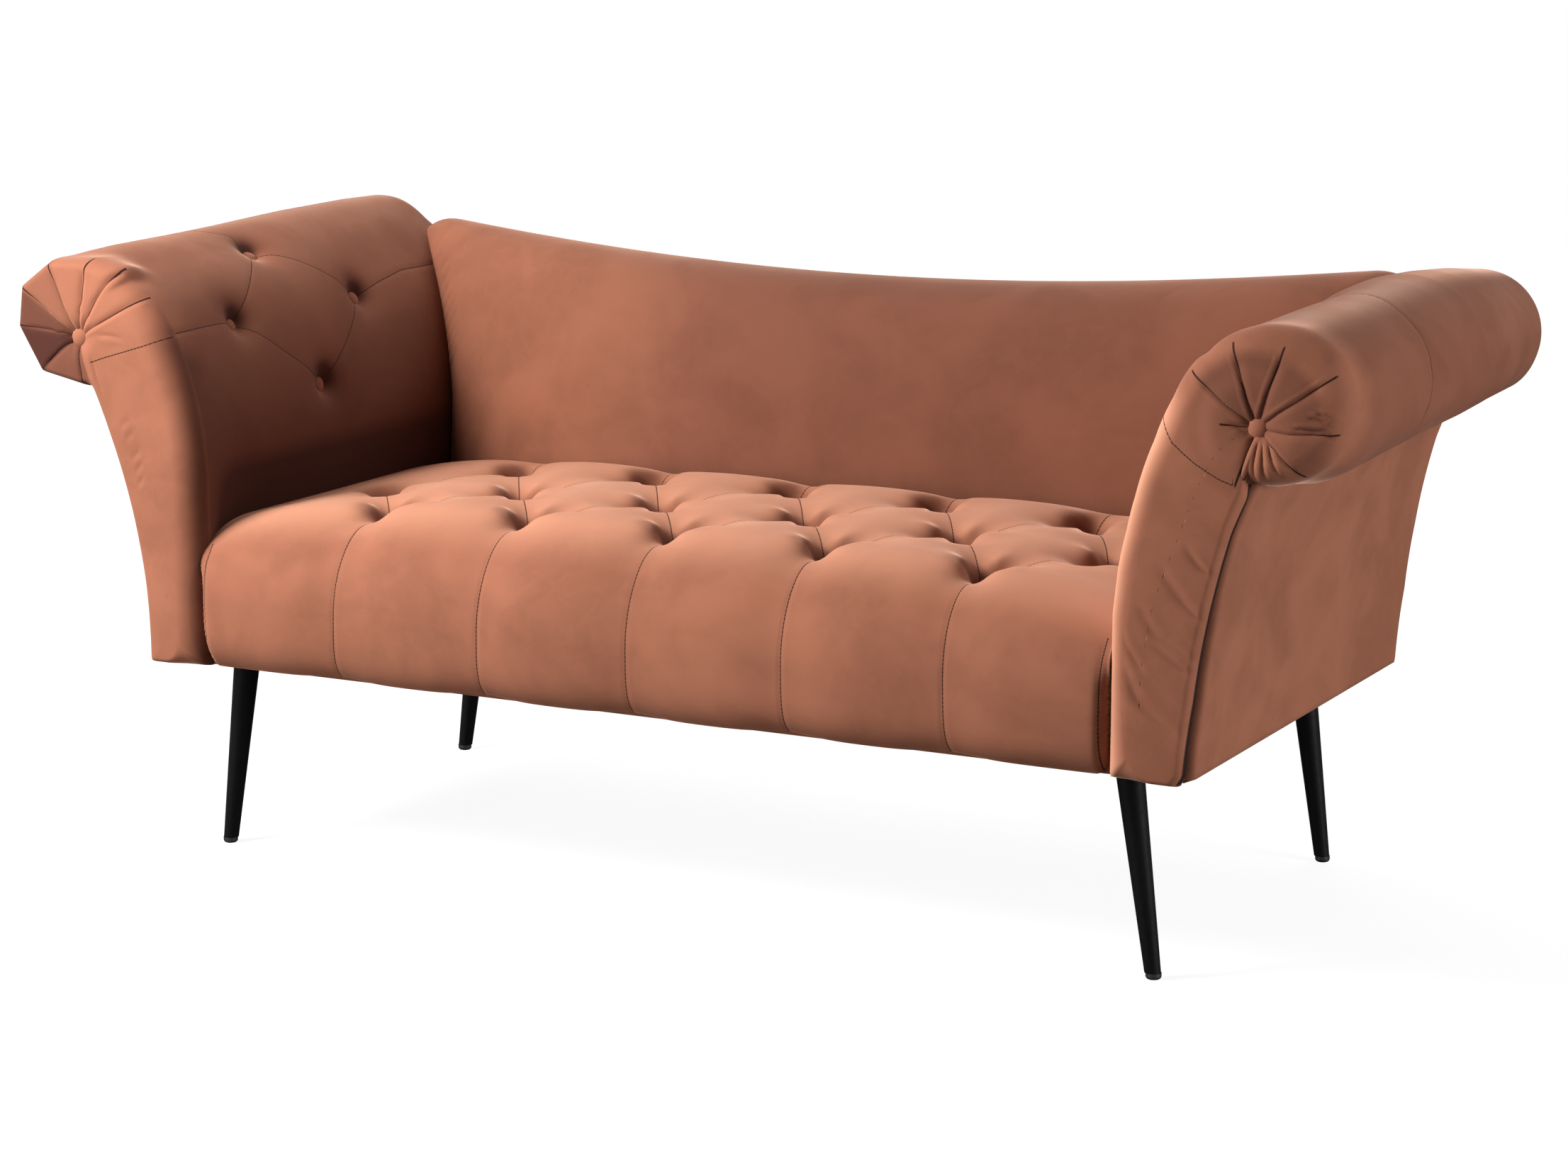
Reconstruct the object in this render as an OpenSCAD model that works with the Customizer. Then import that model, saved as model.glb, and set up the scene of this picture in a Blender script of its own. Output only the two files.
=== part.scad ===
// Fainting couch with two scrolled arms, a tufted seat and a low back
// whose top edge dips in the middle.
// +X is right as seen from the front, +Y points to the rear, +Z is up.
// The origin is on the floor under the centre.

/* [Overall] */
// Depth from the seat's front to the rear of the arms
couch_d = 672; // [640:4:760]
// Width of the seat between the arms
seat_w = 1124; // [1080:4:1500]
// Height of the underside above the floor
base_h = 230; // [180:5:300]

/* [Seat] */
// Height of the seat's edge above the underside
seat_rise = 166; // [156:2:190]
// Height of the puffs above the seat's edge
seat_crown = 42; // [28:1:50]
// How far back the rounded front border reaches
border_d = 80; // [60:2:90]
// Tufts in the front row
front_tufts = 5; // [3, 5]
// Distance of the outer tufts of the middle row from the arms
tuft_end = 94; // [80:1:100]
// Distance of the front row of tufts behind the front
row_front = 118; // [100:2:130]
// Distance of the rear row of tufts ahead of the middle of the back
row_rear = 70; // [50:2:90]
// Depth of a seat tuft
tuft_sink = 22; // [10:1:26]
// Thickness of the foam slab under the tufted pad
foam_t = 44; // [30:1:50]

/* [Arms] */
// Height of the top of an arm above the underside
arm_rise = 472; // [440:4:520]
// How far a roll's axis stands outside the seat
arm_spread = 173; // [150:1:200]
// Height above the underside where the arm starts to curve outwards
arm_bend = 210; // [196:2:230]
// Radius of the roll over its padding
roll_r = 80; // [70:1:86]
// Thickness of an arm at its foot
arm_foot = 77; // [70:1:90]
// How far the outside panel leans out below the roll
side_lean = 63; // [50:1:70]
// Thickness of the arm padding
arm_pad_t = 22; // [18:1:26]
// Depth of an arm tuft
arm_tuft_sink = 13; // [6:1:14]
// Thickness of the padding on the front face of an arm
face_t = 27; // [20:1:32]
// Thickness of the padding on the rear face of an arm
rear_t = 10; // [8:0.5:14]
// Pleats on a scroll, with the same angle between each two
pleats = 6; // [5, 6]
// Depth of a pleat's crease
pleat_sink = 4; // [1:0.5:6]

/* [Back] */
// Height of the middle of the back above the underside
back_rise = 417; // [400:3:430]
// How much higher the ends of the back rise than its middle
back_dip = 41; // [20:1:44]
// Depth of the back where it meets the seat beside the arms
back_d = 142; // [120:2:150]
// How far the back bulges forward between the arms
back_bulge = 60; // [40:2:70]
// Padding over the top rail
cap_t = 25; // [18:1:30]

/* [Legs] */
// Diameter of a leg at its top
leg_top_d = 31; // [26:1:36]
// Diameter of a leg at its foot
leg_foot_d = 17; // [14:1:22]
// Distance of a leg's top inside the seat's end
leg_inset = 8; // [8:1:16]
// How far a leg's foot stands outside its top
leg_splay = 32; // [10:1:40]
// Distance of the front legs behind the front
leg_front = 86; // [80:1:100]
// Distance of the rear legs ahead of the rear
leg_rear = 70; // [66:1:90]
// Height of a leg's glide
glide_h = 7; // [5:0.5:10]

/* [Frame] */
// Thickness of the rails and posts
rail_t = 25; // [20:1:26]
// Height of the seat rails
rail_h = 88; // [70:1:90]
// Thickness of the shaped arm boards
board_t = 18; // [14:1:22]
// Thickness of the upholstered outside panels
panel_t = 8; // [6:0.5:9]
// Thickness of the hardboard skins
skin_t = 3; // [2:0.5:4]
// Wall of the tube in a roll
tube_t = 5; // [3:0.5:8]
// Width of a webbing strap
strap_w = 60; // [40:2:70]
// Diameter of a tuft button
button_d = 18; // [14:1:20]
// Diameter of a scroll button
scroll_button_d = 27; // [22:1:30]

/* [Hidden] */
$fn = 48;

// Clearance between neighbouring pieces
fit = 0.3;
// Clearance between two curved pads
pad_fit = 0.8;
// Overrun of every cut
over = 4;

// Colours
velvet = [0.69, 0.42, 0.31];
velvet_dark = [0.6, 0.35, 0.25];
timber = [0.8, 0.66, 0.46];
ply = [0.86, 0.74, 0.55];
hardboard = [0.5, 0.36, 0.24];
black = [0.06, 0.06, 0.07];
steel = [0.62, 0.63, 0.66];
foam = [0.95, 0.92, 0.78];
cloth = [0.16, 0.16, 0.17];

// Planes and lines that the pieces share
front_y = -couch_d / 2;
rear_y = couch_d / 2;
half_w = seat_w / 2;
under_z = base_h;
edge_z = base_h + seat_rise;
arm_top = base_h + arm_rise;
bend_z = base_h + arm_bend;
roll_x = half_w + arm_spread;
roll_z = arm_top - roll_r;
foot_x = half_w + arm_foot;
board_y = front_y + face_t;
body_y = rear_y - rear_t;
back_z = base_h + back_rise;

// Dust cover, straps, plates and fasteners
cover_t = 1.2;
strap_t = 1.4;
plate_t = 2.5;
plate_w = 48;
stud_d = 8;
stud_up = 44;
stud_down = 40;
screw_d = 4;
screw_l = 16;
screw_head_d = 8;
screw_head_t = 2;
bolt_d = 8;
bolt_head_d = 15;
bolt_head_t = 5;
washer_d = 22;
washer_t = 1.6;

// Rails of the seat
rail_z = under_z + cover_t + fit;
rail_top = rail_z + rail_h;
strap_z = rail_top + fit;
deck_z = strap_z + 2 * (strap_t + fit);
pad_z = deck_z + foam_t + fit;
frame_x = half_w + arm_pad_t;
front_rail_y = board_y + fit;
side_rail_y = front_rail_y + rail_t + fit;
post_y = body_y - panel_t - fit - rail_t;
rear_rail_y = post_y - fit - rail_t;

// Even steps from a to b, both included
function steps(a, b, n) = [for (i = [0:n]) a + (b - a) * i / n];
function mix(a, b, t) = a + (b - a) * t;
function clamp(v, lo, hi) = min(hi, max(lo, v));
function flip(list) = [for (i = [len(list) - 1:-1:0]) list[i]];
// Distance from p to the line from a to b
function line_gap(p, a, b) =
    let (d = b - a, t = clamp((p - a) * d / (d * d), 0, 1)) norm(p - a - d * t);
// Depth of a valley of the given width, at a distance from its middle
function valley(gap, width) = exp(-pow(gap / width, 2));
// Depth of a sharp pinch of the given width
function pinch(gap, width) = exp(-gap / width);

// Triangles of a grid of points, n rows of m points each
function grid_faces(n, m, start, turn) = [
    for (i = [0:n - 2], j = [0:m - 2])
        let (a = start + i * m + j, b = a + 1, c = a + m, d = c + 1)
            each (turn ? [[a, c, d], [a, d, b]] : [[a, d, c], [a, b, d]])
];
// Triangles between two equal rows of point numbers
function strip_faces(p, q) = [
    for (i = [0:len(p) - 2])
        each [[p[i], q[i + 1], q[i]], [p[i], p[i + 1], q[i + 1]]]
];
// Triangles from two corners to a row that runs from one corner's side to the other's
function two_fans(first, last, row) =
    let (h = floor((len(row) - 1) / 2))
        concat([for (i = [0:h - 1]) [first, row[i + 1], row[i]]],
               [[first, last, row[h]]],
               [for (i = [h:len(row) - 2]) [last, row[i + 1], row[i]]]);
function turned(faces) = [for (f = faces) flip(f)];

// Draws a right-hand piece, or its mirror image on the left
module side(right) {
    if (right) children();
    else mirror([1, 0, 0]) children();
}

// A block from its lowest corner to its highest one
module block(lo, hi) {
    translate(lo) cube(hi - lo);
}

// A plate drawn in the XZ plane, from y to y + t
module upright(y, t) {
    translate([0, y + t, 0]) rotate([90, 0, 0]) linear_extrude(t) children();
}

// Legs

leg_x = half_w - leg_inset;
leg_front_y = front_y + leg_front;
leg_rear_y = rear_y - leg_rear;
leg_tilt = atan(leg_splay / base_h);

// Carries its child along the leg's axis, whose zero is at the leg's top
module on_leg(right, rear) {
    side(right) translate([leg_x, rear ? leg_rear_y : leg_front_y, under_z])
        rotate([0, -leg_tilt, 0]) children();
}

module leg(right, rear) {
    color(black) difference() {
        on_leg(right, rear) difference() {
            translate([0, 0, -base_h - over])
                cylinder(h = base_h + 2 * over, d1 = leg_foot_d, d2 = leg_top_d);
            translate([0, 0, -stud_down - fit])
                cylinder(h = stud_down + fit + 2 * over, d = stud_d + 2 * fit);
        }
        block([-roll_x, front_y, under_z], [roll_x, rear_y, under_z + 2 * over]);
        block([-roll_x, front_y, -2 * over], [roll_x, rear_y, glide_h]);
    }
}

// A plastic glide under the leg, with a rounded rim
glide_round = glide_h / 2;
module glide(right, rear) {
    r = leg_foot_d / 2;
    color(black)
        side(right)
            translate([leg_x + leg_splay, rear ? leg_rear_y : leg_front_y, 0])
                rotate_extrude()
                    polygon(concat(
                        [[0, 0]],
                        [for (a = steps(0, 90, 6))
                            [r - glide_round * (1 - sin(a)), glide_round * (1 - cos(a))]],
                        [[r, glide_h], [0, glide_h]]));
}

plate_z = rail_z;
module leg_plate_shape(grow, top) {
    for (right = [false, true], y = [leg_front_y, leg_rear_y])
        side(right)
            block([leg_x - plate_w / 2 - grow, y - plate_w / 2 - grow, plate_z - over * sign(grow)],
                  [leg_x + plate_w / 2 + grow, y + plate_w / 2 + grow, top]);
}

module stud_shape(grow) {
    for (right = [false, true], rear = [false, true])
        on_leg(right, rear)
            translate([0, 0, -stud_down]) cylinder(h = stud_down + stud_up, d = stud_d + 2 * grow);
}

screw_inset = 8;
module at_plate_screws() {
    s = plate_w / 2 - screw_inset;
    for (right = [false, true], y = [leg_front_y, leg_rear_y], dx = [-s, s], dy = [-s, s])
        side(right) translate([leg_x + dx, y + dy, plate_z]) children();
}

module leg_plates() {
    color(steel) difference() {
        leg_plate_shape(0, plate_z + plate_t);
        stud_shape(fit);
        at_plate_screws() translate([0, 0, -over])
            cylinder(h = plate_t + 2 * over, d = screw_d + 2 * fit);
    }
}

module leg_studs() {
    color(steel) stud_shape(0);
}

module leg_plate_screws() {
    color(steel) at_plate_screws() plate_screw(0);
}

// The head stands up into the plate's pocket, and the shank into the timber
module plate_screw(grow) {
    translate([0, 0, plate_t + fit]) cylinder(h = screw_head_t, d = screw_head_d + 2 * grow);
    cylinder(h = plate_t + screw_l + grow, d = screw_d + 2 * grow);
}

// Seat frame

rear_rail_end = rear_rail_y + rail_t;
module pockets() {
    leg_plate_shape(fit, plate_z + plate_t + fit);
    at_plate_screws() plate_screw(fit);
    stud_shape(fit);
}

module seat_rail_front() {
    color(timber)
        block([-frame_x + fit, front_rail_y, rail_z],
              [frame_x - fit, front_rail_y + rail_t, rail_top]);
}

module seat_rail_rear() {
    color(timber) difference() {
        block([-frame_x + fit, rear_rail_y, rail_z],
              [frame_x - fit, rear_rail_end, rail_top]);
        back_screw_set(fit);
        pockets();
    }
}

side_rail_x = frame_x - fit - rail_t;
module seat_rail_side(right) {
    color(timber) difference() {
        side(right)
            block([side_rail_x, side_rail_y, rail_z],
                  [frame_x - fit, rear_rail_y - fit, rail_top]);
        pockets();
        side(right) arm_bolt_set(fit);
    }
}

block_w = 60;
block_h = 60;
module corner_blocks() {
    color(timber) difference() {
        for (right = [false, true]) side(right) {
            block([side_rail_x - fit - block_w, side_rail_y, rail_z],
                  [side_rail_x - fit, side_rail_y + block_w, rail_z + block_h]);
            block([side_rail_x - fit - block_w, rear_rail_y - fit - block_w, rail_z],
                  [side_rail_x - fit, rear_rail_y - fit, rail_z + block_h]);
        }
        pockets();
        for (right = [false, true]) side(right) arm_bolt_set(fit);
    }
}

long_straps = 7;
cross_straps = 4;
module webbing_long() {
    span = frame_x - rail_t;
    color(cloth)
        for (i = [0:long_straps - 1]) {
            x = -span + 2 * span * (i + 0.5) / long_straps;
            block([x - strap_w / 2, front_rail_y, strap_z],
                  [x + strap_w / 2, rear_rail_end, strap_z + strap_t]);
        }
}

module webbing_cross() {
    y0 = side_rail_y;
    span = rear_rail_y - side_rail_y;
    z = strap_z + strap_t + fit;
    color(cloth)
        for (i = [0:cross_straps - 1]) {
            y = y0 + span * (i + 0.5) / cross_straps;
            block([-frame_x + fit, y - strap_w / 2, z], [frame_x - fit, y + strap_w / 2, z + strap_t]);
        }
}

module dust_cover() {
    color(cloth) difference() {
        block([-foot_x + panel_t, board_y, under_z],
              [foot_x - panel_t, body_y - panel_t - fit, under_z + cover_t]);
        stud_shape(fit);
    }
}

// The two curves of the back

// Height of the back's top edge over a place x
back_reach = 610;
back_corner = 45;
back_end_x = arm_x(back_z + cap_t);
function back_top(x) =
    let (near = clamp((abs(x) - back_end_x + back_corner) / back_corner, 0, 1))
        back_z + back_dip * pow(x / back_reach, 2) - back_corner * (1 - sqrt(1 - near * near));
// Place of the seat's rear edge over x
function seat_end_y(x) = rear_y - back_d - back_bulge * (1 - pow(abs(x) / half_w, 3));

// Seat

module seat_foam() {
    color(foam)
        block([-half_w + fit, board_y, deck_z], [half_w - fit, rear_rail_y - fit, deck_z + foam_t]);
}

// Rows of tufts: place and number, with the middle row at a share of the way between
middle_share = 0.46;
tuft_pitch = (seat_w - 2 * tuft_end) / front_tufts;
row_ends = [front_y + row_front, seat_end_y(0) - row_rear];
row_y = [row_ends[0], mix(row_ends[0], row_ends[1], middle_share), row_ends[1]];
row_n = [front_tufts, front_tufts + 1, front_tufts];
seat_tufts = [
    for (r = [0:2], k = [0:row_n[r] - 1]) [(k - (row_n[r] - 1) / 2) * tuft_pitch, row_y[r]]
];
// Seams between the rows, and from the outer tufts of the middle row to the arms
seat_seams = [
    for (k = [0:row_n[0] - 1], e = [-0.5, 0.5])
        let (x = (k - (row_n[0] - 1) / 2) * tuft_pitch, m = [x + e * tuft_pitch, row_y[1]])
            each [[[x, row_y[0]], m], [[x, row_y[2]], m]]
];
seam_sink = 8;
seam_w = 20;
pinch_w = 24;
// Depth below the crown at a place on top of the seat
function seat_dip(p) = max(
    tuft_sink * max([for (t = seat_tufts) pinch(norm(p - t), pinch_w)]),
    seam_sink * max([for (s = seat_seams) valley(line_gap(p, s[0], s[1]), seam_w)]),
    p.y < row_y[0] || p.y > row_y[2] ? seam_sink * front_seam(p.x) : 0);
// Seams that run straight over the front and to the back pad
function front_seam(x) =
    let (k = clamp(round(x / tuft_pitch), -(front_tufts - 1) / 2, (front_tufts - 1) / 2))
        valley(x - k * tuft_pitch, seam_w);
border_y = front_y + border_d;
seat_power = 8;
rise_power = 6;
function seat_height(p) =
    let (t = (p.y - border_y) / (seat_end_y(p.x) - border_y))
        edge_z + seat_crown * (1 - pow(1 - t, rise_power)) * (1 - pow(abs(p.x) / half_w, seat_power))
        - seat_dip(p) * min(1, 3 * t + 0.4);

// The front border's section is a superellipse about a point behind the front edge
border_power = 2.5;
border_mid = under_z + seat_rise * 0.45;
border_h = edge_z - border_mid;
border_low = asin(pow((border_mid - under_z) / border_h, border_power / 2));
end_round = 12;
corner_r = 25;
border_angles = concat(steps(-border_low, 0, 3), [for (a = steps(0, 90, 6)) if (a > 0) a]);
function signed_pow(v, e) = sign(v) * pow(abs(v), e);
// How much a place near an end is drawn in, from 0 to 1
function end_draw(x, reach) =
    let (t = clamp((abs(x) - half_w + reach) / reach, 0, 1)) 1 - sqrt(1 - t * t);
function border_point(x, a) =
    let (low = 1 - end_draw(x, corner_r) * corner_r / (border_mid - under_z),
         draw = end_round * end_draw(x, corner_r) + seam_sink * front_seam(x) * cos(a) * cos(a),
         y = border_y - (border_d - draw) * pow(cos(a), 2 / border_power),
         z = border_mid + border_h * signed_pow(sin(a), 2 / border_power) * (a < 0 ? low : 1))
        [x, y, z - (a > 0 ? seam_sink * 0.4 * front_seam(x) * pow(sin(a), 2) : 0)];

// Columns of the pad fall on the tufts and the seams
column_pitch = tuft_pitch / 8;
columns = floor((half_w - 2 * fit) / column_pitch - 0.3);
seat_x = concat([-half_w + fit], [for (k = [-columns:columns]) k * column_pitch], [half_w - fit]);
function top_rows(x) = concat(
    [for (y = steps(border_y, row_y[0], 2)) if (y > border_y) y],
    [for (y = steps(row_y[0], row_y[1], 4)) if (y > row_y[0]) y],
    [for (y = steps(row_y[1], row_y[2], 5)) if (y > row_y[1]) y],
    [for (y = steps(row_y[2], seat_end_y(x) - pad_fit, 2)) if (y > row_y[2]) y]);
function seat_column(x) = concat(
    [for (a = border_angles) border_point(x, a)],
    [for (y = top_rows(x)) [x, y, seat_height([x, y])]]);

module seat_pad() {
    y_in = board_y - fit;
    n = len(seat_x);
    m = len(seat_column(0));
    outer = [for (x = seat_x) each seat_column(x)];
    low = [for (x = seat_x) [x, y_in, border_point(x, -border_low).z]];
    rear = [for (x = seat_x) [x, seat_end_y(x) - pad_fit, pad_z]];
    corners = [[seat_x[0], y_in, pad_z], [seat_x[n - 1], y_in, pad_z]];
    q = n * m;
    r = q + n;
    c = r + n;
    low_row = [for (i = [0:n - 1]) q + i];
    rear_row = [for (i = [0:n - 1]) r + i];
    first_row = [for (i = [0:n - 1]) i * m];
    last_row = [for (i = [0:n - 1]) i * m + m - 1];
    e = (n - 1) * m;
    caps = concat(
        [[c, 0, q]], [for (k = [0:m - 2]) [c, k + 1, k]], [[c, r, m - 1]],
        [[c + 1, q + n - 1, e]], [for (k = [0:m - 2]) [c + 1, e + k, e + k + 1]],
        [[c + 1, e + m - 1, r + n - 1]]);
    color(velvet)
        polyhedron(concat(outer, low, rear, corners),
                   concat(grid_faces(n, m, 0, false),
                          strip_faces(rear_row, last_row),
                          strip_faces(first_row, low_row),
                          two_fans(c, c + 1, rear_row),
                          turned(two_fans(c, c + 1, low_row)),
                          caps));
}

// A covered button with a cone of gathered cloth under it
button_back = 8;
button_dome = 4;
module button(d, back, dome) {
    rotate_extrude()
        polygon(concat(
            [[0, 0], [d / 2, back]],
            [for (a = steps(0, 90, 6)) [d / 2 * cos(a), back + dome * sin(a)]]));
}

module seat_buttons() {
    color(velvet_dark)
        for (t = seat_tufts)
            translate([t.x, t.y, seat_height(t) + fit]) button(button_d, button_back, button_dome);
}

// Arms

side_r = (pow(roll_z - roll_r - under_z, 2) + side_lean * side_lean) / (2 * side_lean);
// Outer face of the outside panel at a height
function side_x(z) = foot_x + side_r - sqrt(side_r * side_r - pow(z - under_z, 2));
// Inner face of the arm's padding at a height
function arm_x(z) = z <= bend_z ? half_w
    : roll_x - arm_spread * sqrt(1 - pow(min(1, (z - bend_z) / (arm_top - bend_z)), 2));
// A point of the arm's outline, drawn in by some depth
function bend_point(a, in) =
    [roll_x - (arm_spread - in) * cos(a), bend_z + (arm_top - bend_z - in) * sin(a)];
function roll_point(a, in) =
    [roll_x + (roll_r - in) * cos(a), roll_z + (roll_r - in) * sin(a)];
// Angle at which the roll, drawn in, reaches the outside panel, drawn in by its own depth
function roll_end(in, side_in, lo = -150, hi = -90, n = 20) =
    let (mid = (lo + hi) / 2, p = roll_point(mid, in))
        n == 0 ? mid
        : p.x > side_x(p.y) - side_in ? roll_end(in, side_in, lo, mid, n - 1)
        : roll_end(in, side_in, mid, hi, n - 1);

// Outline of an arm from its foot's inner corner, up, over the roll and down outside
function arm_outline(in, side_in, low, n_bend = 16, n_roll = 28, n_side = 16) =
    let (end = roll_end(in, side_in), z_end = roll_point(end, in).y)
        concat([[half_w + in, low], [half_w + in, bend_z]],
               [for (a = steps(0, 90, n_bend)) if (a > 0) bend_point(a, in)],
               [for (a = steps(90, end, n_roll)) if (a < 90) roll_point(a, in)],
               [for (z = steps(z_end, low, n_side)) if (z < z_end) [side_x(z) - side_in, z]]);

module arm_board(right, y) {
    color(ply)
        side(right) upright(y, board_t)
            polygon(arm_outline(arm_pad_t + fit, panel_t + fit, rail_z));
}

front_board_end = board_y + board_t;
rear_board_y = body_y - board_t;
module arm_length() {
    upright(front_board_end, rear_board_y - front_board_end) children();
}

base_rail_x = frame_x + skin_t + 2 * fit;
base_rail_h = 50;
module arm_base_rail(right) {
    color(timber) difference() {
        side(right) arm_length()
            polygon(concat(
                [[base_rail_x, rail_z], [base_rail_x, rail_z + base_rail_h]],
                [for (z = steps(rail_z + base_rail_h, rail_z, 4)) [side_x(z) - panel_t - fit, z]]));
        side(right) arm_bolt_set(fit);
    }
}

tack_h = 34;
tack_t = 22;
module arm_tack_rail(right) {
    top = roll_point(roll_end(arm_pad_t + fit, panel_t + fit), arm_pad_t + fit).y - tube_t;
    color(timber) side(right) arm_length()
        polygon(concat(
            [for (z = steps(top - tack_h, top, 4)) [side_x(z) - panel_t - fit - tack_t, z]],
            [for (z = steps(top, top - tack_h, 4)) [side_x(z) - panel_t - fit, z]]));
}

tube_r = roll_r - arm_pad_t - fit;
module arm_roll_tube(right) {
    color(hardboard) side(right) arm_length()
        translate([roll_x, roll_z]) difference() {
            circle(tube_r);
            circle(tube_r - tube_t);
        }
}

// The skin rises from the foot, bends out and ends where it rests on the tube
skin_in = arm_pad_t + fit;
skin_end = skin_meet();
function skin_meet(lo = 60, hi = 90, n = 20) =
    let (mid = (lo + hi) / 2, p = bend_point(mid, skin_in + skin_t))
        n == 0 ? mid
        : norm(p - [roll_x, roll_z]) > tube_r + fit ? skin_meet(mid, hi, n - 1)
        : skin_meet(lo, mid, n - 1);
module arm_skin(right) {
    angles = steps(0, skin_end, 16);
    color(hardboard) difference() {
        side(right) arm_length()
            polygon(concat(
                [[half_w + skin_in, rail_z]],
                [for (a = angles) bend_point(a, skin_in)],
                [for (a = flip(angles)) bend_point(a, skin_in + skin_t)],
                [[half_w + skin_in + skin_t, rail_z]]));
        side(right) arm_bolt_set(fit);
    }
}

pad_end = roll_end(0, 0);
module arm_side_panel(right) {
    top = roll_point(pad_end, 0).y - fit;
    color(velvet) side(right) upright(board_y, body_y - board_y)
        polygon(concat(
            [for (z = steps(under_z, top, 12)) [side_x(z), z]],
            [for (z = steps(top, under_z, 12)) [side_x(z) - panel_t, z]]));
}

// Bolts through the seat's side rail into the arm's base rail
bolts = 3;
bolt_in = 100;
bolt_z = rail_z + base_rail_h / 2;
module arm_bolt_set(grow) {
    x0 = side_rail_x;
    x1 = side_x(bolt_z) - panel_t - fit;
    for (y = steps(side_rail_y + bolt_in, rear_rail_y - bolt_in, bolts - 1))
        translate([x0, y, bolt_z]) rotate([0, 90, 0]) {
            cylinder(h = x1 - x0 - fit + over * sign(grow), d = bolt_d + 2 * grow);
            translate([0, 0, -washer_t]) cylinder(h = washer_t, d = washer_d);
            translate([0, 0, -washer_t - bolt_head_t])
                cylinder(h = bolt_head_t, d = bolt_head_d, $fn = 6);
        }
}

module arm_bolts(right) {
    color(steel) side(right) arm_bolt_set(0);
}

// Arm tufts: height and place behind the front, as shares of the arm's rise and the depth
arm_tuft_shares = [[0.799, 0.238], [0.947, 0.427], [0.805, 0.619], [0.621, 0.427]];
// Places along the arm's section: height on the straight part, then an angle
section_low = deck_z + fit;
bend_steps = 12;
roll_steps = 12;
bend_angles = [for (a = steps(0, 90, bend_steps)) if (a > 0) a];
roll_angles = [for (a = steps(90, pad_end, roll_steps)) if (a < 90) a];
// How far a curve drawn in straight steps has to grow to stay outside the true one
bend_grow = 1 / cos(90 / bend_steps / 2);
roll_grow = 1 / cos((90 - pad_end) / roll_steps / 2);
// Points of the section, on the cover or, grown, on the face that rests on the frame
function arm_section(in, bend_k = 1, roll_k = 1) = concat(
    [for (z = steps(section_low, bend_z, 2)) [half_w + in, z]],
    [for (a = bend_angles) mix([roll_x, bend_z], bend_point(a, in), bend_k)],
    [for (a = roll_angles) mix([roll_x, roll_z], roll_point(a, in), roll_k)]);
function bend_angle(z) = asin((z - bend_z) / (arm_top - bend_z));
arm_tufts = [
    for (t = arm_tuft_shares)
        let (a = bend_angle(under_z + arm_rise * t.x),
             k = round(a / 90 * len(bend_angles)) - 1)
            [bend_angles[k], front_y + couch_d * t.y]
];
function bend_normal(a) =
    let (n = [-cos(a) / arm_spread, sin(a) / (arm_top - bend_z)]) n / norm(n);
function tuft_place(t) =
    let (p = bend_point(t[0], 0)) [p.x, t[1], p.y];
// Seams between the tufts, from them to the front and rear edges, and over the roll
arm_seams = [
    [tuft_place(arm_tufts[0]), tuft_place(arm_tufts[1])],
    [tuft_place(arm_tufts[1]), tuft_place(arm_tufts[2])],
    [tuft_place(arm_tufts[2]), tuft_place(arm_tufts[3])],
    [tuft_place(arm_tufts[0]), tuft_place(arm_tufts[3])],
    [tuft_place(arm_tufts[0]), tuft_place([arm_tufts[0][0], board_y])],
    [tuft_place(arm_tufts[2]), tuft_place([arm_tufts[2][0], body_y])],
];
arm_seam_sink = 4;
arm_seam_w = 16;
arm_pinch_w = 20;
function arm_dip(p) = max(
    arm_tuft_sink * max([for (t = arm_tufts) pinch(norm(p - tuft_place(t)), arm_pinch_w)]),
    arm_seam_sink * max([for (s = arm_seams) valley(line_gap(p, s[0], s[1]), arm_seam_w)]));

// Rows along the arm fall on the tufts
arm_rows_y = concat(
    steps(board_y + fit, arm_tufts[0][1], 4),
    [for (y = steps(arm_tufts[0][1], arm_tufts[1][1], 4)) if (y > arm_tufts[0][1]) y],
    [for (y = steps(arm_tufts[1][1], arm_tufts[2][1], 4)) if (y > arm_tufts[1][1]) y],
    [for (y = steps(arm_tufts[2][1], body_y - fit, 5)) if (y > arm_tufts[2][1]) y]);

module arm_pad(right) {
    out = arm_section(0);
    in = arm_section(arm_pad_t, bend_grow, roll_grow);
    sink = (arm_section(arm_pad_t) - out) / arm_pad_t;
    n = len(arm_rows_y);
    m = len(out);
    bend_first = 3;
    function sunk(y, j) =
        let (p = [out[j].x, y, out[j].y],
             s = j < bend_first + len(bend_angles) ? arm_dip(p) : 0)
            [p.x + sink[j].x * s, y, p.z + sink[j].y * s];
    outer = [for (y = arm_rows_y) each [for (j = [0:m - 1]) sunk(y, j)]];
    front = [for (p = in) [p.x, arm_rows_y[0], p.y]];
    rear = [for (p = in) [p.x, arm_rows_y[n - 1], p.y]];
    f = n * m;
    r = f + m;
    f_row = [for (j = [0:m - 1]) f + j];
    r_row = [for (j = [0:m - 1]) r + j];
    o_front = [for (j = [0:m - 1]) j];
    o_rear = [for (j = [0:m - 1]) (n - 1) * m + j];
    low_row = [for (i = [0:n - 1]) i * m];
    end_row = [for (i = [0:n - 1]) i * m + m - 1];
    color(velvet) side(right)
        polyhedron(concat(outer, front, rear),
                   concat(grid_faces(n, m, 0, true),
                          strip_faces(f_row, r_row),
                          strip_faces(o_front, f_row),
                          turned(strip_faces(o_rear, r_row)),
                          two_fans(f, r, low_row),
                          turned(two_fans(f + m - 1, r + m - 1, end_row))));
}

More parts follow.
